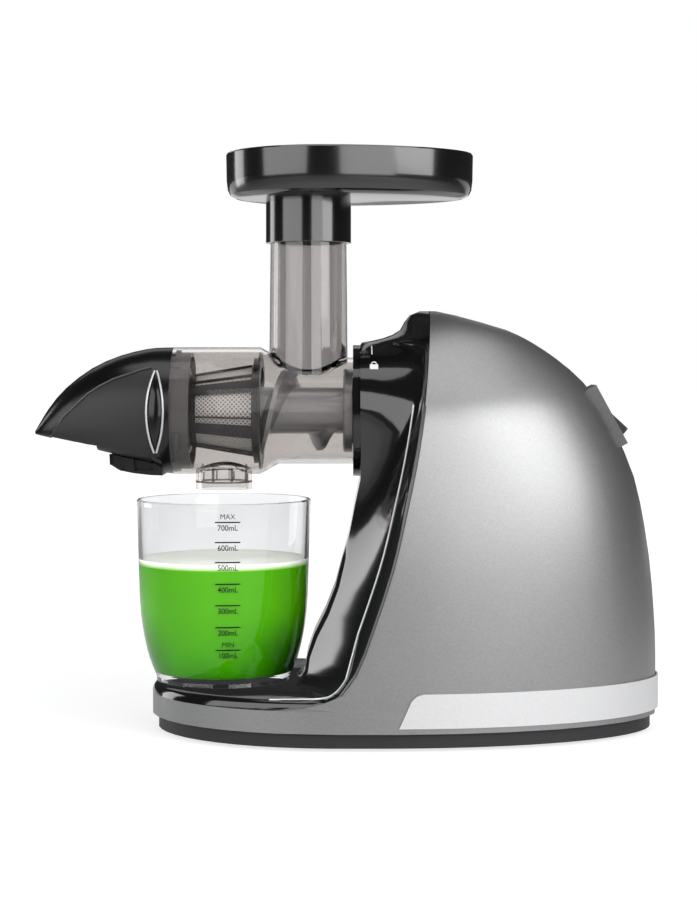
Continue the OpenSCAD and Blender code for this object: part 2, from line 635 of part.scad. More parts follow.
// ---- Base ----
floor_z = foot_h + base_t;
rib_t = 4;
ribs = [case_x + 6, lid_x - 8, can_x + 14, can_x + can_len - 14];
chassis_half = can_r + 7;
rail_y = 20;
module chassis() {
    color("#34363a") union() {
        translate([case_x, -chassis_half, floor_z]) cube([can_x + can_len - case_x, 2 * chassis_half, 3]);
        difference() {
            union() {
                for (x = ribs) translate([x, 0, 0]) rotate([90, 0, 90]) linear_extrude(rib_t)
                    polygon([[-chassis_half, floor_z + 2], [chassis_half, floor_z + 2], [can_r - 2, axis_b - 12],
                        [2 - can_r, axis_b - 12]]);
                for (s = [-1, 1]) translate([case_x, s * rail_y - 2, floor_z + 2])
                    cube([can_x + can_len - 2 - case_x, 4, axis_b - 34 - floor_z]);
            }
            ring_x(case_x - lap, lid_x + lid_t + 0.9, case_r + seat_gap, z = axis_b);
            ring_x(lid_x + lid_t, can_x + can_len + lap, can_r + seat_gap, z = axis_b);
        }
    }
}
feet = [[-72, 48], [-72, -48], [128, 46], [128, -46]];
vents = 7;
board_len = 38;
board_x = rear_len - board_len - 19.6;
board_z = floor_z + 12;
posts = [for (x = [4, board_len - 6], y = [22, -22]) [board_x + x, y]];
gland_y = 40;
gland_z = foot_h + base_t / 2;
gland_r = 3;
module base_plate() {
    color("#2c2c2e") difference() {
        union() {
            translate([0, 0, foot_h]) linear_extrude(base_t) polygon(footprint(base_inset));
            outline_ring(floor_z - 0.5, floor_z + 5, shell_wall + 1.7, shell_wall + 4.1);
            for (p = posts) translate([p.x, p.y, floor_z - 0.5]) cylinder(r = 3, h = board_z - floor_z + 0.5);
        }
        for (i = [0:vents - 1]) translate([can_x + 10 + 9 * i, -24, foot_h - lap]) cube([4, 10, base_t + 2 * lap]);
        for (i = [0:vents - 1]) translate([can_x + 10 + 9 * i, 14, foot_h - lap]) cube([4, 10, base_t + 2 * lap]);
        translate([can_x, gland_y, gland_z]) rotate([0, 90, 0]) cylinder(r = gland_r + seat_gap, h = rear_len);
        translate([can_x - 10, gland_y - 8, foot_h + 2]) cube([60, 16, base_t]);
    }
}
module rubber_feet() {
    color("#161617") for (p = feet) translate([p.x, p.y, 0]) {
        cylinder(r1 = foot_r - 0.8, r2 = foot_r, h = 0.8);
        translate([0, 0, 0.8]) cylinder(r = foot_r, h = foot_h - 0.8);
    }
}
// The gland's collar stands just outside the plate's edge
gland_x = rear_c + (rear_len - rear_c - base_inset)
    * sqrt(1 - ((gland_y - gland_r - 1) / (half_w - base_inset))^2) + 2.2;
module cord_gland() {
    color("#1b1b1c") translate([0, gland_y, gland_z]) rotate([0, 90, 0]) difference() {
        union() {
            translate([0, 0, gland_x - 26]) cylinder(r = gland_r, h = 26);
            translate([0, 0, gland_x - 2]) cylinder(r = gland_r + 0.8, h = 2);
        }
        translate([0, 0, gland_x - 27]) cylinder(r = gland_r - 0.9, h = 30);
    }
}
module control_board() {
    color("#2f6b3c") union() {
        translate([board_x, -28, board_z]) cube([board_len, 56, 1.6]);
        translate([board_x + 10, -14, board_z + 1]) cylinder(r = 6.5, h = 21);
        translate([board_x + 20, 6, board_z + 1]) cube([14, 16, 11]);
    }
}

// ---- Drum ----
drum_back = socket_face + 16;         // end of the barrel, inside the socket
drum_step = -drum_front + drum_len;   // where the taper starts
barrel_x = drum_step + taper_len;
drum_in_r = drum_r - drum_wall;
barrel_in_r = barrel_r - drum_wall;
chute_top = axis_z + chute_h;
wall_x = drum_back - 7;               // rear wall of the barrel
wall_hole_r = 12.6;
cap_lug_h = 1.5;
cap_lug_x = -drum_front + 2.4;
cap_lug_t = 3;
spigot_r = drum_in_r - run_gap;
cap_groove_r = drum_in_r + cap_lug_h;
tube_fillet = 3;       // overlap of the tube's and the spout's feet with the drum's skin
module drum_skin(gap) {
    turned([[0, -drum_front], [drum_r + gap, -drum_front], [drum_r + gap, drum_step],
        [barrel_r + gap, barrel_x], [barrel_r + gap, drum_back], [0, drum_back]]);
}
module juicing_drum() {
    color([0.75, 0.71, 0.69, 0.5]) difference() {
        union() {
            drum_skin(0);
            for (a = lugs) sector_x(lug_x, lug_x + lug_t, barrel_r - 1, barrel_r + lug_h, a - lug_half, a + lug_half);
        }
        turned([[0, -drum_front - lap], [drum_in_r, -drum_front - lap], [drum_in_r, drum_step + 1],
            [barrel_in_r, barrel_x], [barrel_in_r, wall_x], [0, wall_x]]);
        turned([[0, wall_x - lap], [wall_hole_r, wall_x - lap], [wall_hole_r, wall_x + 3],
            [barrel_in_r, wall_x + 3], [barrel_in_r, drum_back + lap], [0, drum_back + lap]]);
        translate([-chute_x, 0, axis_z + 8]) cylinder(r = chute_bore_r, h = chute_h);
        translate([-spout_x, 0, axis_z - spout_drop]) cylinder(r = spout_r - spout_wall, h = spout_drop - 20);
        for (a = lugs)
            bayonet(-drum_front - lap, cap_lug_x, cap_lug_t, drum_in_r, cap_groove_r, a, cap_twist);
    }
}
module feed_tube() {
    color([0.75, 0.71, 0.69, 0.5]) difference() {
        translate([-chute_x, 0, axis_z]) cylinder(r1 = chute_foot_r, r2 = chute_top_r, h = chute_h);
        translate([-chute_x, 0, axis_z - lap]) cylinder(r = chute_bore_r, h = chute_h + 2 * lap);
        drum_skin(seat_gap);
    }
}
spout_ribs = 5;        // half distance of the ribs on the spout
rib_w = 1.8;
rib_h = 1;
module juice_spout() {
    color([0.75, 0.71, 0.69, 0.5]) difference() {
        union() {
            translate([-spout_x, 0, axis_z - spout_drop]) cylinder(r = spout_r, h = spout_drop - 20);
            for (x = [-spout_ribs, spout_ribs]) translate([-spout_x + x - rib_w / 2, -spout_r, axis_z - spout_drop + 4])
                cube([rib_w, 2 * spout_r, spout_drop - 24]);
        }
        translate([-spout_x, 0, axis_z - spout_drop - lap]) cylinder(r = spout_r - spout_wall, h = spout_drop);
        drum_skin(seat_gap);
    }
}

// ---- Strainer ----
cage_back = drum_step + 0.6;          // rear face of the strainer's rim
rim_w = 4.4;
rim_lip = 1.2;                        // lip that stands against the drum's shoulder
cage_x1 = cage_back - rim_w;          // wide end of the cone
cage_x0 = -drum_front + 10.5;         // narrow end of the cone
nose_ring = 3.5;
rim_r = cage_r + 4;
function cage_at(x) = lerp(cage_tip_r, cage_r, (x - cage_x0) / (cage_x1 - cage_x0));
window_x0 = cage_x0 + 2.5;
window_x1 = cage_x1 - 1;
window_turn = 3.5;                    // lift of the near window above the axis, in degrees
window_half = 21;                     // half width of a window, in degrees
seam_turn = -12;                      // bar across each window, from its middle
seam_w = 0.9;
module strainer_cage() {
    color("#3c3c3f") union() {
        difference() {
            union() {
                turned([[cage_tip_r - cage_t, cage_x0], [cage_tip_r, cage_x0], [cage_r, cage_x1 - seat_gap],
                    [cage_r - cage_t, cage_x1 - seat_gap]]);
                ring_x(cage_x0 - nose_ring, cage_x0, cage_tip_r + 1.6, cage_tip_r - cage_t);
            }
            for (i = [0:windows - 1]) along_x() rotate([0, 0, -90 - window_turn + 360 * i / windows]) difference() {
                translate([cage_tip_r - 8, 0, 0]) rotate([90, 0, 90]) linear_extrude(20)
                    polygon([for (p = [[-1, window_x0], [1, window_x0], [1, window_x1], [-1, window_x1]])
                        [p[0] * cage_at(p[1]) * sin(window_half), p[1]]]);
                rotate([0, 0, -seam_turn]) translate([0, -seam_w / 2, window_x0 - lap])
                    cube([2 * cage_r, seam_w, window_x1 - window_x0 + 2 * lap]);
            }
        }
    }
}
module strainer_rim() {
    color("#3c3c3f") {
        ring_x(cage_x1, cage_back, rim_r, cage_r - cage_t);
        ring_x(cage_back - rim_lip, cage_back, spigot_r, rim_r - 1);
    }
}
module strainer_mesh() {
    r0 = cage_tip_r - cage_t - seat_gap;
    r1 = cage_r - cage_t - seat_gap;
    color("#b4b4b2") turned([[r0 - mesh_t, cage_x0], [r0, cage_x0], [r1, cage_x1], [r1 - mesh_t, cage_x1]]);
}

// ---- Auger ----
auger_x0 = cage_x0 - 0.5;             // front end of the screw
flange_x0 = -3.2;                     // flange behind the screw
flange_x1 = 2.6;
tip_pin_r = 5;
tip_pin_x = -drum_front - 2;
boss_x = wall_x + 4;
flight_x0 = flange_x0 - 7.8;
flight_len = flight_x0 - auger_x0 - 4;
squeeze_ribs = 10;
flight_turn = 135;                    // phase of the flight, which starts under the core
slow = (1 - flight_len / (flight_pitch * flight_turns)) / flight_turns;
// Radius of the screw over its flight at x, and of its core
function screw_r(x) = x > cage_x1 - 2 ? flight_r
    : min(flight_r, cage_at(x) - cage_t - mesh_t - seat_gap - flight_clear);
function core_at(x) = x > barrel_x ? core_r
    : lerp(core_r, cage_tip_r - cage_t - mesh_t - 4, clamp((barrel_x - x) / (barrel_x - auger_x0), 0, 1));
flight_x = function (t) flight_x0 - flight_pitch * t * (1 - slow * t);
module flight() {
    steps = round(flight_turns * 19);
    prof = [[-7, 0], [-4, 0.34], [-1.7, 1], [1.7, 1], [4, 0.34], [7, 0]];
    ring = [for (k = [0:steps]) let (t = flight_turns * k / steps, x = flight_x(t), a = flight_turn - 360 * t,
              fade = min(1, k / 3, (steps - k) / 3 + 0.15), sq = lerp(1, 0.6, t / flight_turns))
        [for (p = prof) let (px = x + p[0] * sq, c = core_at(px) - 0.8,
                             r = c + (screw_r(px) - c) * p[1] * (0.3 + 0.7 * fade)) [r * sin(a), r * cos(a), px, c * 0.8]]];
    n = len(prof) + 2;
    pts = [for (q = ring) each concat([for (p = q) [p[0], p[1], p[2]]],
        [for (i = [len(prof) - 1, 0]) let (p = q[i], m = norm([p[0], p[1]])) [p[0] * 0.82, p[1] * 0.82, p[2]]])];
    polyhedron(pts, concat([[for (i = [0:n - 1]) n - 1 - i]], [[for (i = [0:n - 1]) steps * n + i]],
        [for (k = [0:steps - 1], i = [0:n - 1]) let (a = k * n + i, b = k * n + (i + 1) % n)
            each [[a, b, a + n], [b, b + n, a + n]]]));
}
module auger_screw() {
    color("#77787c") along_x() union() {
        rotate_extrude($fn = 36) polygon(concat([[0, auger_x0], [core_at(auger_x0) - 2, auger_x0],
            [core_at(auger_x0), auger_x0 + 3]],
            [for (x = [auger_x0 + 12:10:flange_x0 - 4]) [core_at(x), x]],
            [[core_r, flange_x0], [flight_r - 1, flange_x0], [flight_r, flange_x0 + 1], [flight_r, flange_x1],
             [hub_r - 2, flange_x1], [hub_r - 2, boss_x], [0, boss_x]]));
        flight();
        for (i = [0:squeeze_ribs - 1]) rotate([0, 0, 360 * i / squeeze_ribs]) hull() {
            translate([core_at(auger_x0 + 5) - 1, -0.7, auger_x0 + 4]) cube([2.2, 1.4, 1]);
            translate([core_at(auger_x0 + 24) - 1, -0.7, auger_x0 + 24]) cube([1.2, 1.4, 1]);
        }
    }
}
module auger_shaft() {
    color("#c9ccd0") {
        hex_x(boss_x + seat_gap, out_x + out_gear_w, hex_af);
        ring_x(tip_pin_x, auger_x0 - seat_gap, tip_pin_r);
    }
}
module auger_seal() {
    color("#56565a") turned([[hub_r - 2 + seat_gap, flange_x1 + seat_gap], [21, flange_x1 + seat_gap],
        [19.5, wall_x - 1.4], [17.5, wall_x - run_gap], [15.5, wall_x - 1.4], [15, flange_x1 + 2],
        [hub_r - 2 + seat_gap, flange_x1 + 2]]);
}

// ---- Nose cap ----
hood_back = -drum_front - run_gap;
disc_t = 3;
module cap_bulkhead() {
    color("#2a2a2c") difference() {
        union() {
            ring_x(hood_back - disc_t, hood_back, spigot_r, tip_pin_r + run_gap);
            ring_x(hood_back - lap, -drum_front + 11.5, spigot_r, spigot_r - 2.4);
            ring_x(hood_back - lap, cage_x0 - 0.6, cage_tip_r + 4, cage_tip_r + 1.6 + run_gap);
            ring_x(hood_back - disc_t - 4, hood_back + 1.5, tip_pin_r + 4, tip_pin_r + run_gap);
            for (a = lugs) sector_x(cap_lug_x, cap_lug_x + cap_lug_t, spigot_r - 1,
                cap_groove_r - run_gap, a - lug_half, a + lug_half);
        }
        for (a = [0:90:270]) sector_x(hood_back - disc_t - lap, hood_back + lap, 10.5, 20.5, a + 12, a + 78);
    }
}
hood_r = drum_r;
hood_top = [[0, 40.4], [0.12, 40.2], [0.2, 39.4], [0.34, 36.7], [0.49, 32.2], [0.64, 25.2], [0.79, 15],
    [0.86, 8.6], [0.935, -0.4], [0.985, -8.5], [1, -11.5]];
hood_bottom = [[0, -40.4], [0.05, -40.2], [0.13, -34], [0.3, -30], [0.5, -26], [1, -14.8]];
hood_half = [[0, 40.4], [0.2, 39.4], [0.5, 35.5], [0.8, 28], [0.95, 22], [1, 18.5]];
hood_mid = [[0, 0], [0.3, -6], [0.6, -10], [0.8, -11.5], [1, -13]];
hood_levels = [0, 0.06, 0.13, 0.2, 0.3, 0.4, 0.5, 0.6, 0.7, 0.79, 0.86, 0.92, 0.96, 0.985, 1];
// A ring through the hood at share u of its reach, inset by e, with its bottom dropped by drop
function hood_ring(u, e, drop, n) =
    let (k = hood_r / 40.4, top = k * curve(hood_top, u) - e, bot = k * curve(hood_bottom, u) + e - drop,
         mid = min(k * curve(hood_mid, u), top - 1), half = k * curve(hood_half, u) - e,
         up = lerp(2, 2.5, clamp(u * 2.5, 0, 1)), dn = lerp(2, 5, clamp(u * 4, 0, 1)))
    [for (i = [0:n - 1]) let (a = 360 * i / n, c = cos(a), s = sin(a), q = s >= 0 ? up : dn)
        [hood_back - u * hood_len, half * sign(c) * abs(c)^(2 / q),
         axis_z + mid + (s >= 0 ? top - mid : mid - bot) * sign(s) * abs(s)^(2 / q)]];
// A solid through rings of the same number of points, closed by fans
module loft(rings) {
    n = len(rings[0]);
    m = len(rings);
    mid = function (r) [for (k = [0:2]) let (v = [for (p = r) p[k]]) (min(v) + max(v)) / 2];
    polyhedron(concat([for (r = rings) each r], [mid(rings[0]), mid(rings[m - 1])]), concat(
        [for (i = [0:n - 1]) each [[(i + 1) % n, i, n * m], [(m - 1) * n + i, (m - 1) * n + (i + 1) % n, n * m + 1]]],
        [for (k = [0:m - 2], i = [0:n - 1]) let (a = k * n + i, b = k * n + (i + 1) % n)
            each [[a, b, b + n], [a, b + n, a + n]]]));
}
mouth = [0.53, 0.955];                // opening under the hood, as shares of its reach
panel_in = 0.6;                       // recess of the matt side panels
grip_in = 1.3;                        // depth of the grips behind them
grip_u = 0.1;                         // middle of the grips, as a share of the hood's reach
grip_half_w = 4.9;
grip_half_h = 27.2;
// One side of the lens outline of a grip: side is -1 in front and 1 behind
function grip_arc(side) = let (r = (grip_half_h^2 + grip_half_w^2) / (2 * grip_half_w), a = asin(grip_half_h / r))
    [for (i = [-3:3]) hood_r / 40.4 * [side * (r * cos(a * i / 3) - r + grip_half_w), r * sin(a * i / 3)]];
// Outline of a side panel over the axis: [share of the hood's reach, height]
panel_top = [[0.13, 27.6], [0.2, 26.3], [0.3, 23.4], [0.41, 20.2], [0.514, 15.7], [0.6, 10.9], [0.678, 4.7],
    [0.78, -3.6], [0.87, -14.5], [0.885, -40], [0.13, -40]];
module hood_recess(outline, depth) {
    difference() {
        for (s = [-1, 1]) translate([hood_back, s * (hood_r / 2 + 8) + hood_r / 2, axis_z]) rotate([90, 0, 0])
            linear_extrude(hood_r) polygon(outline);
        loft([for (u = hood_levels) hood_ring(u, depth, 0, 36)]);
    }
}
module nose_hood() {
    color("#18181a") difference() {
        loft([for (u = hood_levels) hood_ring(u, 0, 0, 36)]);
        translate([0.5, 0, 0]) loft([for (u = [0, 0.06, 0.13, 0.3, 0.4, 0.5]) hood_ring(u, hood_wall, 0, 28)]);
        loft([for (u = [0.49, 0.5, mouth[0]]) hood_ring(u, hood_wall, 0, 20)]);
        loft([for (u = [mouth[0], 0.66, 0.79, 0.88, mouth[1]]) hood_ring(u, hood_wall, 8, 20)]);
        hood_recess([for (p = panel_top) [-p[0] * hood_len, p[1] * hood_r / 40.4]], panel_in);
        hood_recess([for (p = concat(grip_arc(1), [for (i = [5:-1:1]) grip_arc(-1)[i]])) p - [grip_u * hood_len, 0]],
            grip_in);
    }
}
chin_half = 25;
chin_rib = hood_back - 0.314 * hood_len;   // rib between the two pockets of the chin
// Side view of the chin, as shares of the hood's reach and of its radius
chin_tab = [[0.45, 0.495], [0.443, 0.83], [0.384, 0.911], [0.267, 0.96], [0.14, 0.99], [0.058, 0.995],
    [0.058, 0.495]];
// Lip under the hood that the pulp falls past, seated against the hood's underside
module pulp_outlet() {
    color("#232325") difference() {
        translate([0, chin_half, axis_z]) rotate([90, 0, 0]) linear_extrude(2 * chin_half)
            polygon([for (p = chin_tab) [hood_back - p[0] * hood_len, -p[1] * hood_r]]);
        loft([for (u = hood_levels) if (u < 0.6) hood_ring(u, -seat_gap, 0, 36)]);
        for (s = [-1, 1], x = [chin_rib - 11, chin_rib + 4])
            translate([x, s * chin_half - 4, axis_z - 37]) cube([x < chin_rib ? 9 : 12, 8, 16]);
    }
}

// ---- Hopper tray ----
tray_shift = 8;                       // widest part, behind the chute axis
seat_t = 3.8;
tray_z = chute_top + rest_gap + seat_t;
collar_play = 0.4;
function tray_ring(z, e, n = 40) = [for (i = [0:n - 1]) let (a = -360 * i / n, c = cos(a), s = sin(a),
        lx = (c > 0 ? tray_back - tray_shift : tray_front + tray_shift) - e)
    [tray_shift - chute_x + lx * sign(c) * abs(c)^1.03, (tray_half_w - e) * sign(s) * abs(s)^1.03, z]];
module hopper_tray() {
    color("#131315") difference() {
        union() {
            loft([for (p = [[0, 10], [0.6, 6], [2.5, 2.6], [6, 1], [12, 0.3], [tray_h - 1, 0], [tray_h, 0.8],
                    [tray_h, tray_wall - 0.8], [tray_h - 1.2, tray_wall], [10, tray_wall + 0.8],
                    [tray_wall + 3.2, tray_wall + 2.6], [tray_wall + 0.6, tray_wall + 7], [tray_wall, tray_wall + 11]])
                tray_ring(tray_z + p[0], p[1])]);
            translate([-chute_x, 0, tray_z - collar_h]) cylinder(r = collar_r, h = collar_h + 1);
        }
        translate([-chute_x, 0, tray_z - collar_h - lap]) cylinder(r = chute_bore_r, h = collar_h + 20);
        translate([-chute_x, 0, tray_z - collar_h - lap])
            cylinder(r = chute_foot_r - (chute_foot_r - chute_top_r) * (1 - (collar_h - seat_t) / chute_h) + collar_play,
                h = collar_h + lap - seat_t);
    }
}

// ---- Jug ----
jug_z = keel_z + rest_gap;
// Outer profile: [share of the height, share of the rim's radius]
jug_tab = [[0.045, 0.79], [0.1, 0.835], [0.16, 0.873], [0.22, 0.902], [0.28, 0.925], [0.35, 0.945],
    [0.45, 0.962], [0.6, 0.972], [0.8, 0.985], [0.97, 1], [1, 1]];
function jug_out(s) = jug_r * curve(jug_tab, s);
jug_floor = 6;
jug_steps = [0.045, 0.08, 0.12, 0.16, 0.2, 0.25, 0.3, 0.37, 0.46, 0.6, 0.8, 0.97];
module jug() {
    color([0.9, 0.94, 0.96, 0.35]) translate([-spout_x, 0, jug_z]) rotate_extrude() polygon(concat(
        [[0, 2.2], [jug_foot_r - 3, 2.2], [jug_foot_r - 2.6, 0], [jug_foot_r, 0], [jug_foot_r, 2.6]],
        [for (s = jug_steps) [jug_out(s), s * jug_h]],
        [[jug_r, jug_h - 0.8], [jug_r - 0.8, jug_h], [jug_r - jug_wall + 0.6, jug_h], [jug_r - jug_wall, jug_h - 0.8]],
        [for (i = [len(jug_steps) - 2:-1:2]) let (s = jug_steps[i]) [jug_out(s) - jug_wall, s * jug_h + 0.4]],
        [[jug_out(0.07) - jug_wall - 4, jug_floor + 1], [jug_out(0.07) - jug_wall - 9, jug_floor], [0, jug_floor]]));
}

base_plate();
rubber_feet();
main_shell();
front_cover();
edge_bead();
silver_band();
drum_socket();
switch_bezel();
switch_body();
cord_gland();
chassis();
gearbox_case();
gearbox_lid();
output_bush();
gear_pins();
motor_can();
motor_end_cap();
field_magnets();
control_board();
rotor();
cooling_fan();
first_cluster();
second_cluster();
output_gear();
auger_screw();
auger_shaft();
auger_seal();
juicing_drum();
feed_tube();
juice_spout();
strainer_cage();
strainer_rim();
strainer_mesh();
cap_bulkhead();
nose_hood();
pulp_outlet();
hopper_tray();
jug();
switch_rocker();
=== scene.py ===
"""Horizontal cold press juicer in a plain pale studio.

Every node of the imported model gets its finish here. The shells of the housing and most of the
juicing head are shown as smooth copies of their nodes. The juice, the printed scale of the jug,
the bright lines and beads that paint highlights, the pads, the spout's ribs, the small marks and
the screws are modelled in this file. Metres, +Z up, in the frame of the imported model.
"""

from __future__ import annotations

import logging
import math
import sys
from dataclasses import dataclass
from enum import Enum
from functools import cache
from typing import Callable, Sequence

import bmesh
import bpy
from mathutils import Matrix, Vector
from mathutils.bvhtree import BVHTree


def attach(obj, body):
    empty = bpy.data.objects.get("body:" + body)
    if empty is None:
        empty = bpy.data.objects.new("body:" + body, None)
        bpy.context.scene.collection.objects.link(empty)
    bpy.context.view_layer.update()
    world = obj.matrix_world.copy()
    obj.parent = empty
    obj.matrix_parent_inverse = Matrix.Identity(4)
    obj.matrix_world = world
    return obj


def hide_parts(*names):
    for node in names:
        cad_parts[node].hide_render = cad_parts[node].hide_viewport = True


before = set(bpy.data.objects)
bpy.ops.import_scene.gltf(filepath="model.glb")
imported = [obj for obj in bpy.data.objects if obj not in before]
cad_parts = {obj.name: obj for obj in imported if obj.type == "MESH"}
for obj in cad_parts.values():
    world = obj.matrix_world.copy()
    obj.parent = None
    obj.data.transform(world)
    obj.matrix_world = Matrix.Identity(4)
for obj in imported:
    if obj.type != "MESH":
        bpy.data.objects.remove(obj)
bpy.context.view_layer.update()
LOG = logging.getLogger("juicer")

MM = 0.001
AXIS_Z = 0.202
MOTOR_Z = 0.1645
SPOUT_X = -0.0794
EYE_AWAY = 1.226
EYE_Z = 0.2305
UP = (0, 0, 1)
SIDES = ((-1, "near"), (1, "far"))

# Degrees between faces past which an edge is shown sharp.
SHELL_CREASE = 32.0
TURNED_CREASE = 40.0
BEAD_CREASE = 60.0

# How far lines and paint stand off the surface that they lie on.
LINE_LIFT = 0.0001
PAINT_LIFT = 0.00008
MERGE_WITHIN = 1e-6

# Sockets of the Mix node that hold its colours.
MIX_COLOURS = (6, 7)
MIX_RESULT = 2

Socket = bpy.types.NodeSocket
Material = bpy.types.Material
Inputs = dict[str | int, object]
Colour = tuple[float, float, float]
Point = tuple[float, float, float]
Flat = tuple[float, float]


# ---------------- shader building


class Value:
    """A number in a node tree. Arithmetic on it adds Math nodes."""

    def __init__(self, shade: Shade, socket: Socket) -> None:
        """Wraps an output socket of the tree that shade builds."""
        self.shade = shade
        self.socket = socket

    def _math(
        self, operation: str, *others: Value | float, first: Value | float | None = None
    ) -> Value:
        """Adds one Math node.

        Args:
            operation: the Math node's operation.
            others: the operands after this one.
            first: an operand put before this one, for the reflected forms.

        Returns:
            The node's result.
        """
        operands = (self, *others) if first is None else (first, self)
        values = dict(enumerate(operands))
        return self.shade.value("ShaderNodeMath", {"operation": operation}, values)

    def __add__(self, other: Value | float) -> Value:
        """Sum."""
        return self._math("ADD", other)

    __radd__ = __add__

    def __mul__(self, other: Value | float) -> Value:
        """Product."""
        return self._math("MULTIPLY", other)

    def __sub__(self, other: Value | float) -> Value:
        """Difference."""
        return self._math("SUBTRACT", other)

    def __rsub__(self, other: float) -> Value:
        """Difference the other way round."""
        return self._math("SUBTRACT", first=other)

    def __truediv__(self, other: Value | float) -> Value:
        """Quotient."""
        return self._math("DIVIDE", other)

    def __pow__(self, other: float) -> Value:
        """Power."""
        return self._math("POWER", other)

    def __gt__(self, other: Value | float) -> Value:
        """1 where this is the greater."""
        return self._math("GREATER_THAN", other)

    def __lt__(self, other: Value | float) -> Value:
        """1 where this is the smaller."""
        return self._math("LESS_THAN", other)

    def __abs__(self) -> Value:
        """Magnitude."""
        return self._math("ABSOLUTE")

    def larger(self, other: Value | float) -> Value:
        """The larger of the two."""
        return self._math("MAXIMUM", other)

    def sine(self) -> Value:
        """Sine of this angle in radians."""
        return self._math("SINE")

    def angle_to(self, other: Value) -> Value:
        """Angle of the direction whose rise is this and whose run is other."""
        return self._math("ARCTAN2", other)

    def ramp(self, low: float, high: float) -> Value:
        """0 below low, 1 above high and smooth between them."""
        return self.shade.value(
            "ShaderNodeMapRange",
            {"interpolation_type": "SMOOTHSTEP"},
            {"Value": self, "From Min": low, "From Max": high},
        )


class Shade:
    """Builds the node tree of one material."""

    def __init__(self, name: str) -> None:
        """Starts an empty material of that name."""
        self.material = bpy.data.materials.new(name)
        self.material.use_nodes = True
        self.tree = self.material.node_tree
        self.tree.nodes.clear()
        self.output = self.tree.nodes.new("ShaderNodeOutputMaterial")
        self.place = self.node("ShaderNodeTexCoord").outputs["Object"]

    def node(
        self, kind: str, settings: Inputs | None = None, values: Inputs | None = None
    ) -> bpy.types.Node:
        """Adds a node.

        Args:
            kind: the node's type.
            settings: its properties.
            values: its inputs by name or number, each a link or a plain value.

        Returns:
            The node.
        """
        made = self.tree.nodes.new(kind)
        for name, setting in (settings or {}).items():
            setattr(made, name, setting)
        for name, given in (values or {}).items():
            socket = made.inputs[name]
            if isinstance(given, Value):
                given = given.socket
            if isinstance(given, Socket):
                self.tree.links.new(given, socket)
            elif socket.type == "RGBA" and len(given) == 3:
                socket.default_value = (*given, 1.0)
            else:
                socket.default_value = given
        return made

    def value(
        self, kind: str, settings: Inputs | None = None, values: Inputs | None = None
    ) -> Value:
        """Adds a node and wraps its first output."""
        return Value(self, self.node(kind, settings, values).outputs[0])

    def axes(self) -> tuple[Value, Value, Value]:
        """The three object coordinates."""
        split = self.node("ShaderNodeSeparateXYZ", values={0: self.place})
        return tuple(Value(self, out) for out in split.outputs)

    def stretched(self, scale: Point) -> Socket:
        """The object coordinates scaled along each axis."""
        return self.node("ShaderNodeMapping", values={0: self.place, "Scale": scale}).outputs[0]

    def noise(self, scale: float, detail: float = 3.0, where: Socket | None = None) -> Value:
        """Noise about 0.5 with that many features per metre."""
        values = {"Vector": where or self.place, "Scale": scale, "Detail": detail}
        return self.value("ShaderNodeTexNoise", None, values)

    def mix(self, factor: Value | float, first: object, second: object) -> Socket:
        """Blends two colours."""
        made = self.node("ShaderNodeMix", {"data_type": "RGBA"}, {0: factor})
        for number, given in zip(MIX_COLOURS, (first, second)):
            socket = made.inputs[number]
            if isinstance(given, Socket):
                self.tree.links.new(given, socket)
            else:
                socket.default_value = (*given, 1.0)
        return made.outputs[MIX_RESULT]

    def bump(self, height: Value, distance: float) -> Socket:
        """A normal from a height that spans distance metres."""
        values = {"Height": height, "Distance": distance}
        return self.node("ShaderNodeBump", None, values).outputs[0]

    def principled(self, **sockets: object) -> Socket:
        """A Principled shader; each keyword is a socket's name with _ for the spaces."""
        values = {name.replace("_", " "): given for name, given in sockets.items()}
        return self.node("ShaderNodeBsdfPrincipled", None, values).outputs[0]

    def lamps_pass(self, surface: Socket, tint: Colour) -> Socket:
        """Lets rays from the lamps through a clear wall, tinted."""
        path = self.node("ShaderNodeLightPath").outputs["Is Shadow Ray"]
        clear = self.node("ShaderNodeBsdfTransparent", None, {"Color": tint}).outputs[0]
        return self.node("ShaderNodeMixShader", None, {0: path, 1: surface, 2: clear}).outputs[0]

    def finish(self, surface: Socket) -> Material:
        """Connects the surface and returns the material."""
        self.tree.links.new(surface, self.output.inputs["Surface"])
        return self.material

    def plain(self, **sockets: object) -> Material:
        """Finishes the material with a Principled shader alone."""
        return self.finish(self.principled(**sockets))


# ---------------- finishes


def toned(colour: Colour, factor: float, lift: float = 0.0) -> Colour:
    """The colour times a factor plus a lift, with each share at most 1."""
    return tuple(min(1.0, share * factor + lift) for share in colour)


@dataclass(frozen=True)
class Moulded:
    """Moulded plastic or rubber: slight clouding of the gloss and a fine grain."""

    name: str
    colour: Colour
    roughness: float = 0.4
    spread: float = 0.06
    grain: float = 0.0
    grain_scale: float = 2200.0
    specular: float = 0.5
    coat: float = 0.0
    metallic: float = 0.0

    def make(self) -> Material:
        """Builds the material."""
        shade = Shade(self.name)
        cloud = shade.noise(38.0, 4.0)
        fine = shade.noise(self.grain_scale, 2.0)
        light, dark = toned(self.colour, 1.22, 0.001), toned(self.colour, 0.84)
        sockets = {
            "Base_Color": shade.mix(cloud * 0.7 + fine * 0.3, dark, light),
            "Roughness": self.roughness
            + (cloud - 0.5) * self.spread
            + (fine - 0.5) * self.spread * 0.5,
            "Specular_IOR_Level": self.specular,
            "Metallic": self.metallic,
            "Coat_Weight": self.coat,
            "Coat_Roughness": 0.09,
        }
        if self.grain:
            sockets["Normal"] = shade.bump(fine, self.grain * MM)
        return shade.plain(**sockets)


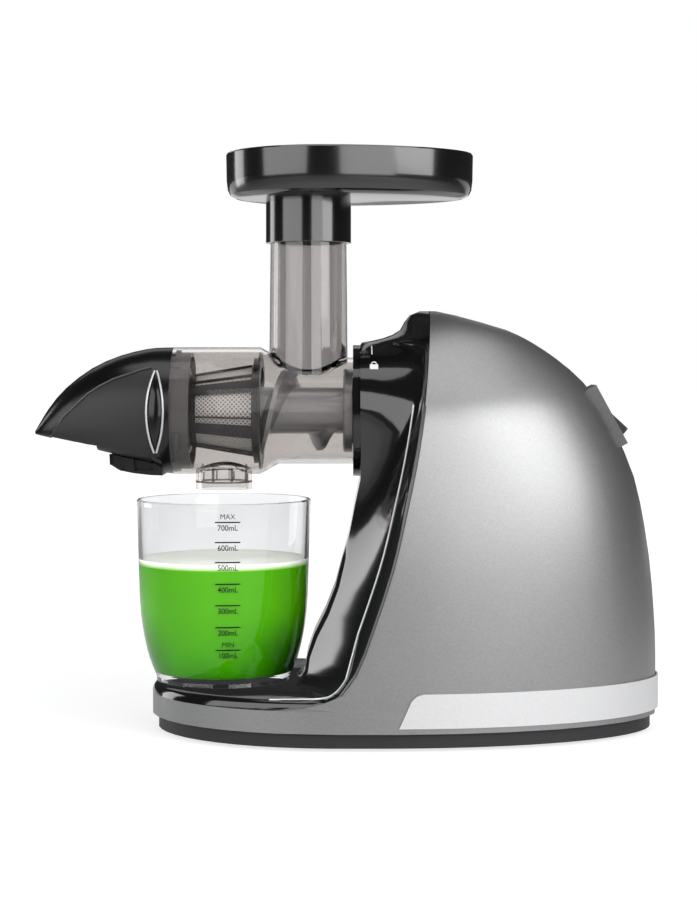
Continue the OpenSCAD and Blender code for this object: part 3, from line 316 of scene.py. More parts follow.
@dataclass(frozen=True)
class MetallicPaint:
    """Satin metallic paint: aluminium flakes under a soft clear coat."""

    name: str
    colour: Colour
    roughness: float = 0.42
    metallic: float = 0.8
    flakes_per_metre: float = 2600.0

    def make(self) -> Material:
        """Builds the material."""
        shade = Shade(self.name)
        values = {"Vector": shade.place, "Scale": self.flakes_per_metre}
        cells = shade.node("ShaderNodeTexVoronoi", None, values)
        flake = shade.value("ShaderNodeSeparateColor", None, {0: cells.outputs["Color"]})
        cloud = shade.noise(16.0, 3.0)
        light, dark = toned(self.colour, 1.18), toned(self.colour, 0.86)
        return shade.plain(
            Base_Color=shade.mix(flake * 0.75 + cloud * 0.25, dark, light),
            Metallic=self.metallic + (flake - 0.5) * 0.12,
            Roughness=self.roughness + (flake - 0.5) * 0.08 + (cloud - 0.5) * 0.03,
            Coat_Weight=0.25,
            Coat_Roughness=0.22,
        )


@dataclass(frozen=True)
class Brushed:
    """Bright metal or plating with fine lines along one axis."""

    name: str
    colour: Colour
    roughness: float = 0.25
    lines: Point = (40.0, 2200.0, 2200.0)
    depth: float = 0.004
    metallic: float = 1.0

    def make(self) -> Material:
        """Builds the material."""
        shade = Shade(self.name)
        streak = shade.noise(1.0, 3.0, shade.stretched(self.lines))
        cloud = shade.noise(60.0)
        light, dark = toned(self.colour, 1.1), toned(self.colour, 0.88)
        return shade.plain(
            Base_Color=shade.mix(streak, dark, light),
            Metallic=self.metallic,
            Roughness=self.roughness + (streak - 0.5) * 0.12 + (cloud - 0.5) * 0.05,
            Normal=shade.bump(streak, self.depth * MM),
        )


@dataclass(frozen=True)
class ClearPlastic:
    """Clear moulded plastic with a body tint and faint flow lines."""

    name: str
    tint: Colour
    shadow_tint: Colour
    roughness: float = 0.02
    ior: float = 1.24
    coat: float = 1.0

    def make(self) -> Material:
        """Builds the material."""
        shade = Shade(self.name)
        flow = shade.noise(24.0, 2.0)
        surface = shade.principled(
            Base_Color=shade.mix(flow, toned(self.tint, 0.94), self.tint),
            Roughness=self.roughness + (flow - 0.5) * 0.012,
            Transmission_Weight=1.0,
            IOR=self.ior,
            Coat_Weight=self.coat,
            Coat_Roughness=0.02,
        )
        return shade.finish(shade.lamps_pass(surface, self.shadow_tint))


@dataclass(frozen=True)
class WovenSteel:
    """Fine perforated steel on a cone about the drum's axis, with a dark rim before starts.

    The pitch of the holes and the cone's mean radius are in millimetres.
    """

    name: str
    colour: Colour = (0.62, 0.61, 0.595)
    shaded: Colour = (0.44, 0.435, 0.43)
    rim: Colour = (0.03, 0.03, 0.031)
    pitch: float = 2.8
    radius: float = 25.0
    starts: float = -0.0962

    def make(self) -> Material:
        """Builds the material."""
        shade = Shade(self.name)
        x, y, z = shade.axes()
        round_way = (z - AXIS_Z).angle_to(y) * (self.radius / self.pitch * math.pi)
        along = x * (math.pi / (self.pitch * MM))
        holes = (along + round_way).sine() * (along - round_way).sine()
        woven = x > self.starts
        open_share = abs(holes).ramp(0.42, 0.52) * woven
        wire = shade.mix(shade.noise(400.0), self.shaded, self.colour)
        return shade.plain(
            Base_Color=shade.mix(woven, self.rim, wire),
            Metallic=0.15,
            Roughness=0.4,
            Alpha=1 - open_share * 0.75,
        )


@dataclass(frozen=True)
class HoodPlastic:
    """Nose hood: gloss black with matte side panels in front of its grips.

    The panel's upper edge is top_line, as x and z. The grip is a lens, given by the x of its
    middle and its half width and half height.
    """

    name: str
    gloss: Colour = (0.0025, 0.0025, 0.003)
    matte: Colour = (0.014, 0.014, 0.015)
    top_line: tuple[Flat, ...] = (
        (-0.1870, 0.1860), (-0.1784, 0.1984), (-0.1696, 0.2067), (-0.1629, 0.2129),
        (-0.1555, 0.2177), (-0.1466, 0.2222), (-0.1371, 0.2254), (-0.1285, 0.2283),
        (-0.1225, 0.2296),
    )
    grip: Point = (-0.1199, 0.0049, 0.0272)
    margin: float = 0.0002
    half_spine: float = 0.006

    def make(self) -> Material:
        """Builds the material."""
        shade = Shade(self.name)
        x, y, z = shade.axes()
        left, right = self.top_line[0][0], self.top_line[-1][0]
        curve = shade.node("ShaderNodeFloatCurve", None, {"Value": (x - left) / (right - left)})
        line = curve.mapping.curves[0]
        low, span = 0.18, 0.06
        while len(line.points) < len(self.top_line):
            line.points.new(0.5, 0.5)
        for point, (px, pz) in zip(line.points, self.top_line):
            point.location = ((px - left) / (right - left), (pz - low) / span)
            point.handle_type = "VECTOR"
        curve.mapping.update()
        top = Value(shade, curve.outputs[0]) * span + low
        middle, half_w, half_h = self.grip
        rise = (z - AXIS_Z) / half_h
        lens = (rise * rise * -1.0 + 1.0) * half_w
        panel = (top - z > self.margin) * (abs(y) > self.half_spine) * (x < right - self.margin)
        panel = panel * (abs(x - middle) > lens)
        cloud = shade.noise(45.0)
        fine = shade.noise(2600.0, 2.0)
        return shade.plain(
            Base_Color=shade.mix(panel, self.gloss, self.matte),
            Roughness=0.24 + panel * 0.22 + (cloud - 0.5) * 0.03,
            Specular_IOR_Level=0.5,
            Normal=shade.bump(fine * panel, 0.02 * MM),
        )


@dataclass(frozen=True)
class ChinPlastic:
    """Pulp chin: matte where it carries on the side panel, near black in its pockets: the black
    plastic, with the shade of their depth painted in.

    It is matte from half its width outwards.
    """

    name: str
    pocket_shade: Colour = (0.003, 0.003, 0.0035)
    matte: Colour = (0.019, 0.019, 0.020)
    half: float = 0.0285

    def make(self) -> Material:
        """Builds the material."""
        shade = Shade(self.name)
        _, y, _ = shade.axes()
        # proud is 1 on the matte faces; the pockets inside it get the near black, partly painted
        # shade.
        proud = (abs(y) - self.half).ramp(-0.0006, -0.0001)
        fine = shade.noise(2600.0, 2.0)
        return shade.plain(
            Base_Color=shade.mix(proud, self.pocket_shade, self.matte),
            Roughness=0.34 + proud * 0.12 + (fine - 0.5) * 0.04,
        )


@dataclass(frozen=True)
class Juice:
    """Fresh green juice with cloudy streaks, lighter towards the top, with painted shade at its
    sides near the bottom.
    """

    name: str
    deep: Colour = (0.010, 0.19, 0.0002)
    light: Colour = (0.085, 0.37, 0.0005)
    shaded: Colour = (0.001, 0.022, 0.0003)

    def make(self) -> Material:
        """Builds the material."""
        shade = Shade(self.name)
        cloud = shade.noise(22.0, 3.0)
        specks = shade.noise(600.0, 2.0)
        x, _, z = shade.axes()
        # Lighter towards the top.
        towards_top = z.ramp(0.03, 0.085)
        sides = x.ramp(-0.062, -0.032) + (1 - x.ramp(-0.128, -0.104)) * 0.6
        lit = shade.mix(cloud * 0.5 + specks * 0.1 + towards_top * 0.4, self.deep, self.light)
        # Painted shade: the sides are darkened towards the bottom.
        corner_shade = sides * (1 - z.ramp(0.04, 0.08)) * 0.9
        return shade.plain(
            Base_Color=shade.mix(corner_shade, lit, self.shaded),
            Roughness=0.4 + (specks - 0.5) * 0.1,
            Specular_IOR_Level=0.0,
        )


@dataclass(frozen=True)
class Foam:
    """Pale foam of fine bubbles that turns to juice between the heights high and low, with a faint
    glow of painted light.
    """

    name: str
    colour: Colour = (0.94, 0.95, 0.90)
    shaded: Colour = (0.86, 0.90, 0.78)
    wet: Colour = (0.16, 0.44, 0.02)
    # Strength of the foam's glow of painted light.
    glow: float = 0.12
    low: float = 0.1043
    high: float = 0.1078

    def make(self) -> Material:
        """Builds the material."""
        shade = Shade(self.name)
        cells = {"Vector": shade.place, "Scale": 900.0}
        bubbles = shade.value("ShaderNodeTexVoronoi", None, cells)
        cloud = shade.noise(60.0)
        _, _, z = shade.axes()
        froth = shade.mix(cloud, self.shaded, self.colour)
        colour = shade.mix(z.ramp(self.low, self.high), self.wet, froth)
        return shade.plain(
            Base_Color=colour,
            # The emission is painted light that brightens the foam.
            Emission_Color=colour,
            Emission_Strength=self.glow,
            Roughness=0.55 + (cloud - 0.5) * 0.1,
            Normal=shade.bump(bubbles, 0.25 * MM),
        )


@dataclass(frozen=True)
class Windings:
    """Rotor: steel laminations with varnished copper inside the core radius."""

    name: str
    steel: Colour = (0.46, 0.47, 0.48)
    copper: Colour = (0.80, 0.40, 0.18)
    varnish: Colour = (0.42, 0.16, 0.06)
    core: Flat = (0.0135, 0.0145)

    def make(self) -> Material:
        """Builds the material."""
        shade = Shade(self.name)
        x, y, z = shade.axes()
        plates = (x * 4200.0).sine()
        wire = shade.noise(1.0, 2.0, shade.stretched((60.0, 3000.0, 3000.0)))
        outside = ((y * y + (z - MOTOR_Z) * (z - MOTOR_Z)) ** 0.5).ramp(*self.core)
        copper = shade.mix(wire, self.varnish, self.copper)
        return shade.plain(
            Base_Color=shade.mix(outside, copper, self.steel),
            Metallic=0.9,
            Roughness=0.34 + plates * 0.06,
        )


class Finish(Enum):
    """The finishes of the machine, by the part that wears them."""

    COVER = Moulded("cover_black", (0.004, 0.004, 0.0045), 0.10, 0.03, coat=0.8)
    BODY = MetallicPaint("body_grey", (0.31, 0.31, 0.313), metallic=0.9)
    TRIM = Brushed("trim_silver", (0.74, 0.74, 0.745), 0.42, metallic=0.45)
    # A painted highlight: the bright line a little ahead of the cover's seam.
    LINE = Brushed("highlight_bright", (0.86, 0.86, 0.87), 0.3, metallic=0.4)
    # Grey of the edge bead at the cover's seam; on the hood's panel bead it paints a soft
    # highlight.
    SEAM_AND_HIGHLIGHT = Brushed("seam_and_highlight_grey", (0.10, 0.10, 0.103), 0.3, metallic=0.5)
    BASE = Moulded("base_dark", (0.017, 0.017, 0.019), 0.5, 0.08, 0.03)
    FOOT = Moulded("foot_rubber", (0.013, 0.013, 0.013), 0.75, 0.1, 0.05)
    SOCKET = Moulded("socket_black", (0.004, 0.004, 0.005), 0.09, 0.03, coat=0.5)
    BEZEL = Moulded("bezel_grey", (0.10, 0.10, 0.103), 0.36, 0.05, 0.01)
    SWITCH = Moulded("switch_black", (0.012, 0.012, 0.013), 0.26, 0.05)
    INNER = Moulded("inner_black", (0.022, 0.022, 0.024), 0.45, 0.06, 0.02)
    CASE = Moulded("frame_plastic", (0.055, 0.056, 0.06), 0.5, 0.08, 0.03)
    GEAR = Moulded("gear_white", (0.70, 0.66, 0.55), 0.32, 0.06, 0.01)
    STEEL = Brushed("steel", (0.62, 0.63, 0.65), 0.2)
    CAN = Brushed("can_steel", (0.48, 0.49, 0.51), 0.34, (2200.0, 60.0, 60.0))
    COPPER = Windings("copper")
    BRONZE = Brushed("bronze", (0.62, 0.42, 0.19), 0.36)
    MAGNET = Moulded("ferrite", (0.07, 0.07, 0.075), 0.6, 0.1, 0.05)
    BOARD = Moulded("board_green", (0.02, 0.15, 0.05), 0.3, 0.06, 0.02)
    AUGER = Moulded("auger_grey", (0.24, 0.24, 0.245), 0.3, 0.05, coat=0.4, metallic=0.55)
    SEAL = Moulded("seal_grey", (0.10, 0.10, 0.105), 0.6, 0.08, 0.02)
    SMOKE = ClearPlastic("clear_smoke", (0.68, 0.655, 0.64), (0.80, 0.785, 0.775), coat=0.0)
    SPOUT = ClearPlastic(
        "clear_spout", (0.78, 0.76, 0.745), (0.86, 0.845, 0.835), ior=1.42, coat=0.0
    )
    TUBE = ClearPlastic("clear_tube", (0.49, 0.47, 0.465), (0.64, 0.63, 0.62), ior=1.34, coat=0.7)
    # The ribs and the spout's lower bead wear a darker tint than the spout, painted shade of the
    # dark lines they show.
    RIB = ClearPlastic("clear_rib", (0.30, 0.29, 0.285), (0.7, 0.69, 0.68), ior=1.3, coat=0.0)
    CAGE = Moulded("cage_dark", (0.020, 0.020, 0.022), 0.3, 0.06)
    MESH = WovenSteel("mesh_steel")
    HOOD = HoodPlastic("hood_black")
    CAP = Moulded("cap_dark", (0.085, 0.084, 0.086), 0.45, 0.06, specular=0.3)
    TRAY = Moulded("tray_black", (0.004, 0.004, 0.0045), 0.16, 0.03, specular=0.8, coat=0.6)
    CHIN = ChinPlastic("chin_matte")
    # Painted highlights: the bright tip of each hood bead and the arcs in the grips.
    HIGHLIGHT = Brushed("highlight_grey", (0.60, 0.60, 0.605), 0.3, metallic=0.4)
    PAD = Moulded("grip_black", (0.004, 0.004, 0.0045), 0.16, 0.03)
    JUG = ClearPlastic("jug_clear", (0.90, 0.903, 0.91), (0.97, 0.98, 0.98), ior=1.16, coat=0.7)
    JUICE = Juice("juice_green")
    FOAM = Foam("juice_foam")
    PRINT = Moulded("scale_print", (0.008, 0.008, 0.009), 0.6, 0.05, specular=0.15)
    MARK = Moulded("mark_white", (0.75, 0.75, 0.74), 0.4, 0.05)

    @cache
    def material(self) -> Material:
        """The finish's material, built once."""
        return self.value.make()


# ---------------- making pieces


def eased(points: Sequence[tuple[float, ...]], rounds: int = 3) -> list[tuple[float, ...]]:
    """Cuts the corners of a path that many times and keeps its ends."""
    for _ in range(rounds):
        cut = [points[0]]
        for a, b in zip(points, points[1:]):
            cut += [tuple(p + (q - p) * t for p, q in zip(a, b)) for t in (0.25, 0.75)]
        points = [*cut, points[-1]]
    return list(points)


class Form:
    """A mesh in the making, in metres and in the model's frame."""

    def __init__(self) -> None:
        """Starts empty."""
        self.bm = bmesh.new()

    def copy_of(self, node: str) -> Form:
        """Takes in a node's mesh with its loose triangles merged."""
        self.bm.from_mesh(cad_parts[node].data)
        bmesh.ops.remove_doubles(self.bm, verts=self.bm.verts, dist=MERGE_WITHIN)
        return self

    def crease(self, degrees: float = BEAD_CREASE) -> Form:
        """Shades smooth apart from edges sharper than degrees."""
        limit = math.radians(degrees)
        for face in self.bm.faces:
            face.smooth = True
        for edge in self.bm.edges:
            edge.smooth = len(edge.link_faces) == 2 and edge.calc_face_angle(0.0) < limit
        return self

    def turned(self, profile: Sequence[Flat], centre: Point, steps: int = 96) -> Form:
        """Spins an open profile of (radius, height) about the vertical through centre."""
        made = [self.bm.verts.new((centre[0] + r, centre[1], centre[2] + h)) for r, h in profile]
        edges = [self.bm.edges.new(pair) for pair in zip(made, made[1:])]
        bmesh.ops.spin(
            self.bm,
            geom=made + edges,
            cent=centre,
            axis=UP,
            angle=math.tau,
            steps=steps,
            use_merge=True,
        )
        bmesh.ops.remove_doubles(self.bm, verts=self.bm.verts, dist=MERGE_WITHIN)
        bmesh.ops.recalc_face_normals(self.bm, faces=self.bm.faces)
        return self

    def swept(self, path: Sequence[Vector], radius: float, sides: int = 8) -> Form:
        """Runs a round bead of that radius along a path."""
        rings = []
        last = len(path) - 1
        for k, point in enumerate(path):
            ahead = path[min(k + 1, last)] - path[max(k - 1, 0)]
            place = Matrix.Translation(point) @ ahead.to_track_quat("Z", "Y").to_matrix().to_4x4()
            ring = bmesh.ops.create_circle(
                self.bm, segments=sides, radius=radius, matrix=place, cap_ends=k in (0, last)
            )["verts"]
            rings.append(list({edge for vert in ring for edge in vert.link_edges}))
        for near, far in zip(rings, rings[1:]):
            bmesh.ops.bridge_loops(self.bm, edges=near + far)
        bmesh.ops.recalc_face_normals(self.bm, faces=self.bm.faces)
        return self

    def bar(self, centre: Flat, size: Flat) -> Form:
        """Adds a flat bar in the plane of the page, ready for laid_on."""
        place = Matrix.Translation((*centre, 0.0)) @ Matrix.Diagonal((*size, 1.0, 1.0))
        bmesh.ops.create_grid(self.bm, x_segments=6, y_segments=2, size=0.5, matrix=place)
        return self

    def arch(self, centre: Flat, inner: float, outer: float) -> Form:
        """Adds the upper half of a flat ring in the plane of the page."""
        made = [self.bm.verts.new((centre[0] + r, centre[1], 0.0)) for r in (inner, outer)]
        edge = self.bm.edges.new(made)
        bmesh.ops.spin(
            self.bm, geom=[*made, edge], cent=(*centre, 0.0), axis=UP, angle=math.pi, steps=10
        )
        return self

    def words(
        self, text: str, centre: Flat, size: float, squeeze: float = 1.0, weight: float = 0.0
    ) -> Form:
        """Adds lettering in the plane of the page.

        Args:
            text: what it says.
            centre: the point that it is centred on.
            size: the height of its lines.
            squeeze: its width over that of the plain letters.
            weight: how far its strokes grow outwards.

        Returns:
            This form.
        """
        curve = bpy.data.curves.new(text, "FONT")
        curve.body = text
        curve.size = size
        curve.offset = weight
        curve.align_x = "CENTER"
        curve.align_y = "CENTER"
        holder = bpy.data.objects.new(text, curve)
        flat = bpy.data.meshes.new_from_object(holder)
        place = Matrix.Translation((*centre, 0.0)) @ Matrix.Diagonal((squeeze, 1.0, 1.0, 1.0))
        flat.transform(place)
        self.bm.from_mesh(flat)
        bpy.data.objects.remove(holder)
        bpy.data.curves.remove(curve)
        bpy.data.meshes.remove(flat)
        return self

    def laid_on(self, surface: Callable[[float, float], Vector]) -> Form:
        """Moves every point of the page to its place on a surface."""
        for vert in self.bm.verts:
            vert.co = surface(vert.co.x, vert.co.y)
        return self

    def piece(
        self, name: str, body: str, finish: Finish, slot: str, stands_for: Sequence[str] = ()
    ) -> bpy.types.Object:
        """Finishes the mesh as an object.

        Args:
            name: the object's name.
            body: the body that it rides on.
            finish: what it is made of.
            slot: the record's material slot; not used.
            stands_for: the nodes that it replaces.

        Returns:
            The object.
        """
        mesh = bpy.data.meshes.new(name)
        self.bm.to_mesh(mesh)
        self.bm.free()
        made = bpy.data.objects.new(name, mesh)
        bpy.context.scene.collection.objects.link(made)
        mesh.materials.append(finish.material())
        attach(made, body)
        if stands_for:
            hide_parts(*stands_for)
        LOG.info("%s: %d faces on %s", name, len(mesh.polygons), body)
        return made


def dress(**finishes: Finish) -> None:
    """Gives each named node its finish."""
    for node, finish in finishes.items():
        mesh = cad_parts[node].data
        mesh.materials.clear()
        mesh.materials.append(finish.material())
        LOG.info("%s: %s", node, finish.name.lower())


def stand_in(node: str, body: str, finish: Finish, slot: str) -> None:
    """Dresses a node and shows it by a copy that is smooth between its creases."""
    dress(**{node: finish})
    form = Form().copy_of(node).crease(SHELL_CREASE)
    form.piece(f"{node}_skin", body, finish, slot, [node])


class Skin:
    """Finds points on the surface of a node."""

    def __init__(self, node: str, form: Form | None = None) -> None:
        """Prepares the node's mesh, and that of a form added to it, for rays."""
        form = (form or Form()).copy_of(node)
        self.tree = BVHTree.FromBMesh(form.bm)
        form.bm.free()

    def hit(self, start: Point, towards: Point, lift: float) -> Vector:
        """Finds the first point that a ray meets.

        Args:
            start: where the ray starts.
            towards: the way that it goes.
            lift: how far the point is raised, back towards the start, along the normal.

        Returns:
            The raised point.

        Raises:
            ValueError: if the ray meets nothing.
        """
        way = Vector(towards).normalized()
        point, normal, _, _ = self.tree.ray_cast(Vector(start), way)
        if point is None:
            raise ValueError(f"no surface beyond {start}")
        return point - normal * lift if normal.dot(way) > 0 else point + normal * lift


@dataclass
class Housing:
    """Motor housing with its cover, base, trim and switch."""

    away: float = 0.3
    switch_at: Point = (0.165221, 0.0, 0.19897)
    switch_tilt: float = math.radians(90 - 28.59)
    label_rise: float = 0.0085
    label_size: float = 0.006
    screw_places: tuple[Flat, ...] = ((-0.1, 0.0), (0.02, 0.06), (0.02, -0.06), (0.16, 0.0))
    screw_z: float = 0.002
    screw_profile: tuple[Flat, ...] = (
        (0.0, -0.0008), (0.0012, -0.0008), (0.0013, -0.0011),
        (0.0028, -0.0009), (0.0034, 0.0),
    )
    # The bright line on each side of the cover, a swept bead, paints the highlight of its rim.
    highlight_radius: float = 0.00055
    highlight_offset: float = 0.0062
    highlight_span: Flat = (0.05, 0.3)
    highlight_step: float = 0.004
    highlight_turn: tuple[Point, ...] = (
        (-0.047, 0.080, 0.0307), (-0.0288, 0.0795, 0.0307), (-0.0130, 0.077, 0.0307),
        (-0.0072, 0.0765, 0.0342), (-0.0035, 0.0762, 0.0385), (-0.0010, 0.0757, 0.0425),
    )
    corner_box: tuple[Point, Point] = ((-0.012, 0.06, 0.033), (0.0, 0.0785, 0.0405))
    corner_edge: float = math.radians(150)
    smooth_nodes: tuple[tuple[str, Finish, str], ...] = (
        ("main_shell", Finish.BODY, "body_grey"),
        ("front_cover", Finish.COVER, "cover_black"),
        ("silver_band", Finish.TRIM, "trim_silver"),
        ("base_plate", Finish.BASE, "base_dark"),
        ("drum_socket", Finish.SOCKET, "socket_black"),
    )

    def build(self) -> None:
        """Dresses the housing and stands smooth copies in for its shells."""
        dress(
            rubber_feet=Finish.FOOT,
            edge_bead=Finish.SEAM_AND_HIGHLIGHT,
            switch_bezel=Finish.BEZEL,
            switch_body=Finish.INNER,
            switch_rocker=Finish.SWITCH,
            cord_gland=Finish.INNER,
        )
        for node, finish, slot in self.smooth_nodes:
            stand_in(node, "base", finish, slot)
        for side, where in SIDES:
            plug = self.corner(side).crease()
            plug.piece(f"cover_corner_{where}", "base", Finish.COVER, "cover_black")
        self.highlight_lines()
        self.marks()
        self.screws()

    def corner(self, side: int) -> Form:
        """Hull over the rim of the cover's opening, where its flare meets the deck, on one side."""
        cover = Form().copy_of("front_cover").bm
        low, high = self.corner_box
        form = Form()
        for vert in cover.verts:
            place = (vert.co.x, side * vert.co.y, vert.co.z)
            inside = all(a < c < b for a, c, b in zip(low, place, high))
            turns = (edge.calc_face_angle(0.0) for edge in vert.link_edges)
            if inside and any(turn > self.corner_edge for turn in turns):
                form.bm.verts.new(vert.co)
        cover.free()
        bmesh.ops.convex_hull(form.bm, input=form.bm.verts)
        return form

    def highlight_lines(self) -> None:
        """Runs a bright line down each side of the cover, a little ahead of the seam: a painted
        highlight of the cover's rim.
        """
        bead = [v.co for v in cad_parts["edge_bead"].data.vertices]
        low, high = self.highlight_span
        for side, where in SIDES:
            skin = Skin("front_cover", self.corner(side))
            rows: dict[float, list[float]] = {}
            for co in bead:
                if side * co.y > 0.01 and low < co.z < high:
                    level = round(co.z / self.highlight_step) * self.highlight_step
                    rows.setdefault(level, []).append(co.x)
            seam = [(sum(row) / len(row), z) for z, row in sorted(rows.items())]
            path = []
            for (x0, z0), (x1, z1) in zip(seam, seam[1:]):
                run, rise = x1 - x0, z1 - z0
                reach = self.highlight_offset / math.hypot(run, rise)
                path.append(((x0 + x1) / 2 - rise * reach, (z0 + z1) / 2 + run * reach))
            path = [
                skin.hit((x, side * self.away, z), (0, -side, 0), LINE_LIFT) for x, z in eased(path)
            ]
            eye = Vector((0.0, side * EYE_AWAY, EYE_Z))
            turn = [Vector((x, side * y, z)) for x, y, z in eased(self.highlight_turn)]
            path = [skin.hit(eye, point - eye, LINE_LIFT) for point in turn] + path
            line = Form().swept(path, self.highlight_radius).crease()
            line.piece(f"cover_highlight_{where}", "base", Finish.LINE, "trim_silver")

    def marks(self) -> None:
        """Paints the alignment bar and the padlock beside the socket, and the rocker's I and O."""
        skin = Skin("front_cover")
        bar, lock, shackle = (0.0150, 0.2405), (0.0162, 0.2300), (0.0162, 0.2315)
        marks = Form().bar(bar, (0.0007, 0.0055))
        marks.bar(lock, (0.0052, 0.0030)).arch(shackle, 0.0012, 0.0018)
        marks.laid_on(lambda x, z: skin.hit((x, -self.away, z), (0, 1, 0), PAINT_LIFT))
        marks.piece("socket_marks", "base", Finish.MARK, "bezel_grey")
        rocker = Skin("switch_rocker")
        up = Vector((math.sin(self.switch_tilt), 0.0, math.cos(self.switch_tilt)))
        along = Vector((-up.z, 0.0, up.x))
        start = Vector(self.switch_at) + up * 0.05

        def on_rocker(x: float, y: float) -> Vector:
            """Point of the rocker under a point of the page."""
            return rocker.hit(start + along * y + Vector((0.0, x, 0.0)), -up, PAINT_LIFT)

        labels = Form()
        for text, rise in (("I", self.label_rise), ("O", -self.label_rise)):
            labels.words(text, (0.0, rise), self.label_size)
        labels.laid_on(on_rocker).piece("rocker_marks", "rocker", Finish.MARK, "bezel_grey")

    def screws(self) -> None:
        """Drives the screws that hold the base plate."""
        form = Form()
        for x, y in self.screw_places:
            form.turned(self.screw_profile, (x, y, self.screw_z), 24)
        form.crease(TURNED_CREASE).piece("base_screws", "base", Finish.STEEL, "steel")


@dataclass
class Drive:
    """Motor, gearbox and frame inside the housing."""

    def build(self) -> None:
        """Dresses the works."""
        dress(
            chassis=Finish.CASE,
            gearbox_case=Finish.CASE,
            gearbox_lid=Finish.CASE,
            output_bush=Finish.BRONZE,
            gear_pins=Finish.STEEL,
            motor_can=Finish.CAN,
            motor_end_cap=Finish.INNER,
            field_magnets=Finish.MAGNET,
            control_board=Finish.BOARD,
            rotor=Finish.COPPER,
            cooling_fan=Finish.INNER,
            first_cluster=Finish.GEAR,
            second_cluster=Finish.GEAR,
            output_gear=Finish.GEAR,
        )


@dataclass
class JuicingHead:
    """Drum, strainer, auger, nose cap and hopper tray."""

    away: float = 0.2
    spout_radii: Flat = (0.0152, 0.0176)
    spout_heights: Flat = (0.1568, 0.167)
    ribs: int = 8
    thin: float = 0.0006
    thick: float = 0.0007
    # The bead on each panel's upper edge, its bright tip and the arcs in each grip are painted
    # highlights of the hood's edges.
    bead_rise: float = 0.0003
    tip_points: int = 3
    pad_reach: Flat = (0.85, 0.95)
    pad_swell: Flat = (0.0002, 0.0008)
    grip_highlight_reach: Flat = (1.08, 0.93)
    grip_highlight_lift: float = 0.0004
    smooth_nodes: tuple[tuple[str, str, Finish, str], ...] = (
        ("nose_hood", "cap", Finish.HOOD, "hood_black"),
        ("hopper_tray", "hopper", Finish.TRAY, "tray_black"),
        ("auger_screw", "auger", Finish.AUGER, "auger_grey"),
        ("juicing_drum", "drum", Finish.SMOKE, "clear_smoke"),
        ("feed_tube", "drum", Finish.TUBE, "clear_smoke"),
        ("juice_spout", "drum", Finish.SPOUT, "clear_smoke"),
        ("strainer_cage", "drum", Finish.CAGE, "cage_dark"),
        ("strainer_rim", "drum", Finish.CAGE, "cage_dark"),
    )

    def build(self) -> None:
        """Dresses the head and stands smooth copies in for its lofted pieces."""
        dress(
            auger_shaft=Finish.STEEL,
            auger_seal=Finish.SEAL,
            strainer_mesh=Finish.MESH,
            cap_bulkhead=Finish.CAP,
            pulp_outlet=Finish.CHIN,
        )
        for row in self.smooth_nodes:
            stand_in(*row)
        self.spout_ribs()
        self.hood_trim()

    def spout_ribs(self) -> None:
        """Stands the spout's inner ribs and the bead of its lower edge, in a darker tint that
        paints their shade.
        """
        form = Form()
        inner, outer = self.spout_radii
        low, high = self.spout_heights
        for k in range(self.ribs):
            turn = math.tau * (k + 0.5) / self.ribs
            x, y = SPOUT_X + inner * math.cos(turn), inner * math.sin(turn)
            form.swept([Vector((x, y, low)), Vector((x, y, high))], self.thick, 6)
        turns = [math.tau * k / 64 for k in range(65)]
        ring = [Vector((SPOUT_X + outer * math.cos(a), outer * math.sin(a), low)) for a in turns]
        form.swept(ring, self.thin, 6)
        form.crease().piece("spout_ribs", "drum", Finish.RIB, "clear_smoke")

    def hood_trim(self) -> None:
        """Lays a grey bead along each side panel's upper edge, with a bright one at its tip, and a
        pad and two bright arcs in each grip; the beads and arcs paint highlights.
        """
        skin = Skin("nose_hood")
        hood = Finish.HOOD.value
        middle, half_w, half_h = hood.grip
        pad_wide, pad_tall = self.pad_reach
        pad_edge, pad_crown = self.pad_swell
        highlight_wide, highlight_tall = self.grip_highlight_reach
        for side, where in SIDES:

            def on_hood(x: float, z: float, lift: float) -> Vector:
                """Point of this side of the hood at x and z, raised by lift."""
                return skin.hit((x, side * self.away, z), (0, -side, 0), lift)

            def in_grip(across: float, rise: float) -> Vector:
                """Point of a swollen pad on the grip's floor; both shares run from -1 to 1."""
                rise *= pad_tall
                x = middle + across * half_w * pad_wide * (1 - rise * rise)
                swell = pad_edge + pad_crown * (1 - across * across)
                return on_hood(x, AXIS_Z + rise * half_h, swell)

            def trim(name: str, path: Sequence[Vector], radius: float, finish: Finish) -> None:
                """Runs a bead along a path on this side, a painted highlight."""
                bead = Form().swept(path, radius).crease()
                bead.piece(f"{name}_{where}", "cap", finish, "hood_black")

            # The grey bead on the panel's upper edge paints its soft highlight, and the bright bead
            # on its first points paints the highlight of the tip.
            path = [on_hood(x, z + self.bead_rise, -LINE_LIFT) for x, z in hood.top_line]
            trim("hood_bead_highlight", path, self.thick, Finish.SEAM_AND_HIGHLIGHT)
            pad = Form()
            bmesh.ops.create_grid(pad.bm, x_segments=6, y_segments=16, size=1.0)
            if side > 0:
                bmesh.ops.reverse_faces(pad.bm, faces=pad.bm.faces)
            pad.laid_on(in_grip).crease()
            pad.piece(f"hood_grip_{where}", "cap", Finish.PAD, "hood_black")
            trim("hood_tip_highlight", path[: self.tip_points], self.thin, Finish.HIGHLIGHT)
            # The two bright arcs along the grip's front and back edges are painted highlights.
            for way, edge in ((-1, "front"), (1, "back")):
                arc_points = []
                for k in range(-8, 9):
                    rise = highlight_tall * k / 8
                    x = middle + way * half_w * (1 - rise * rise) * highlight_wide
                    arc_points.append(on_hood(x, AXIS_Z + rise * half_h, self.grip_highlight_lift))
                trim(f"hood_lip_{edge}", arc_points, self.thick, Finish.HIGHLIGHT)


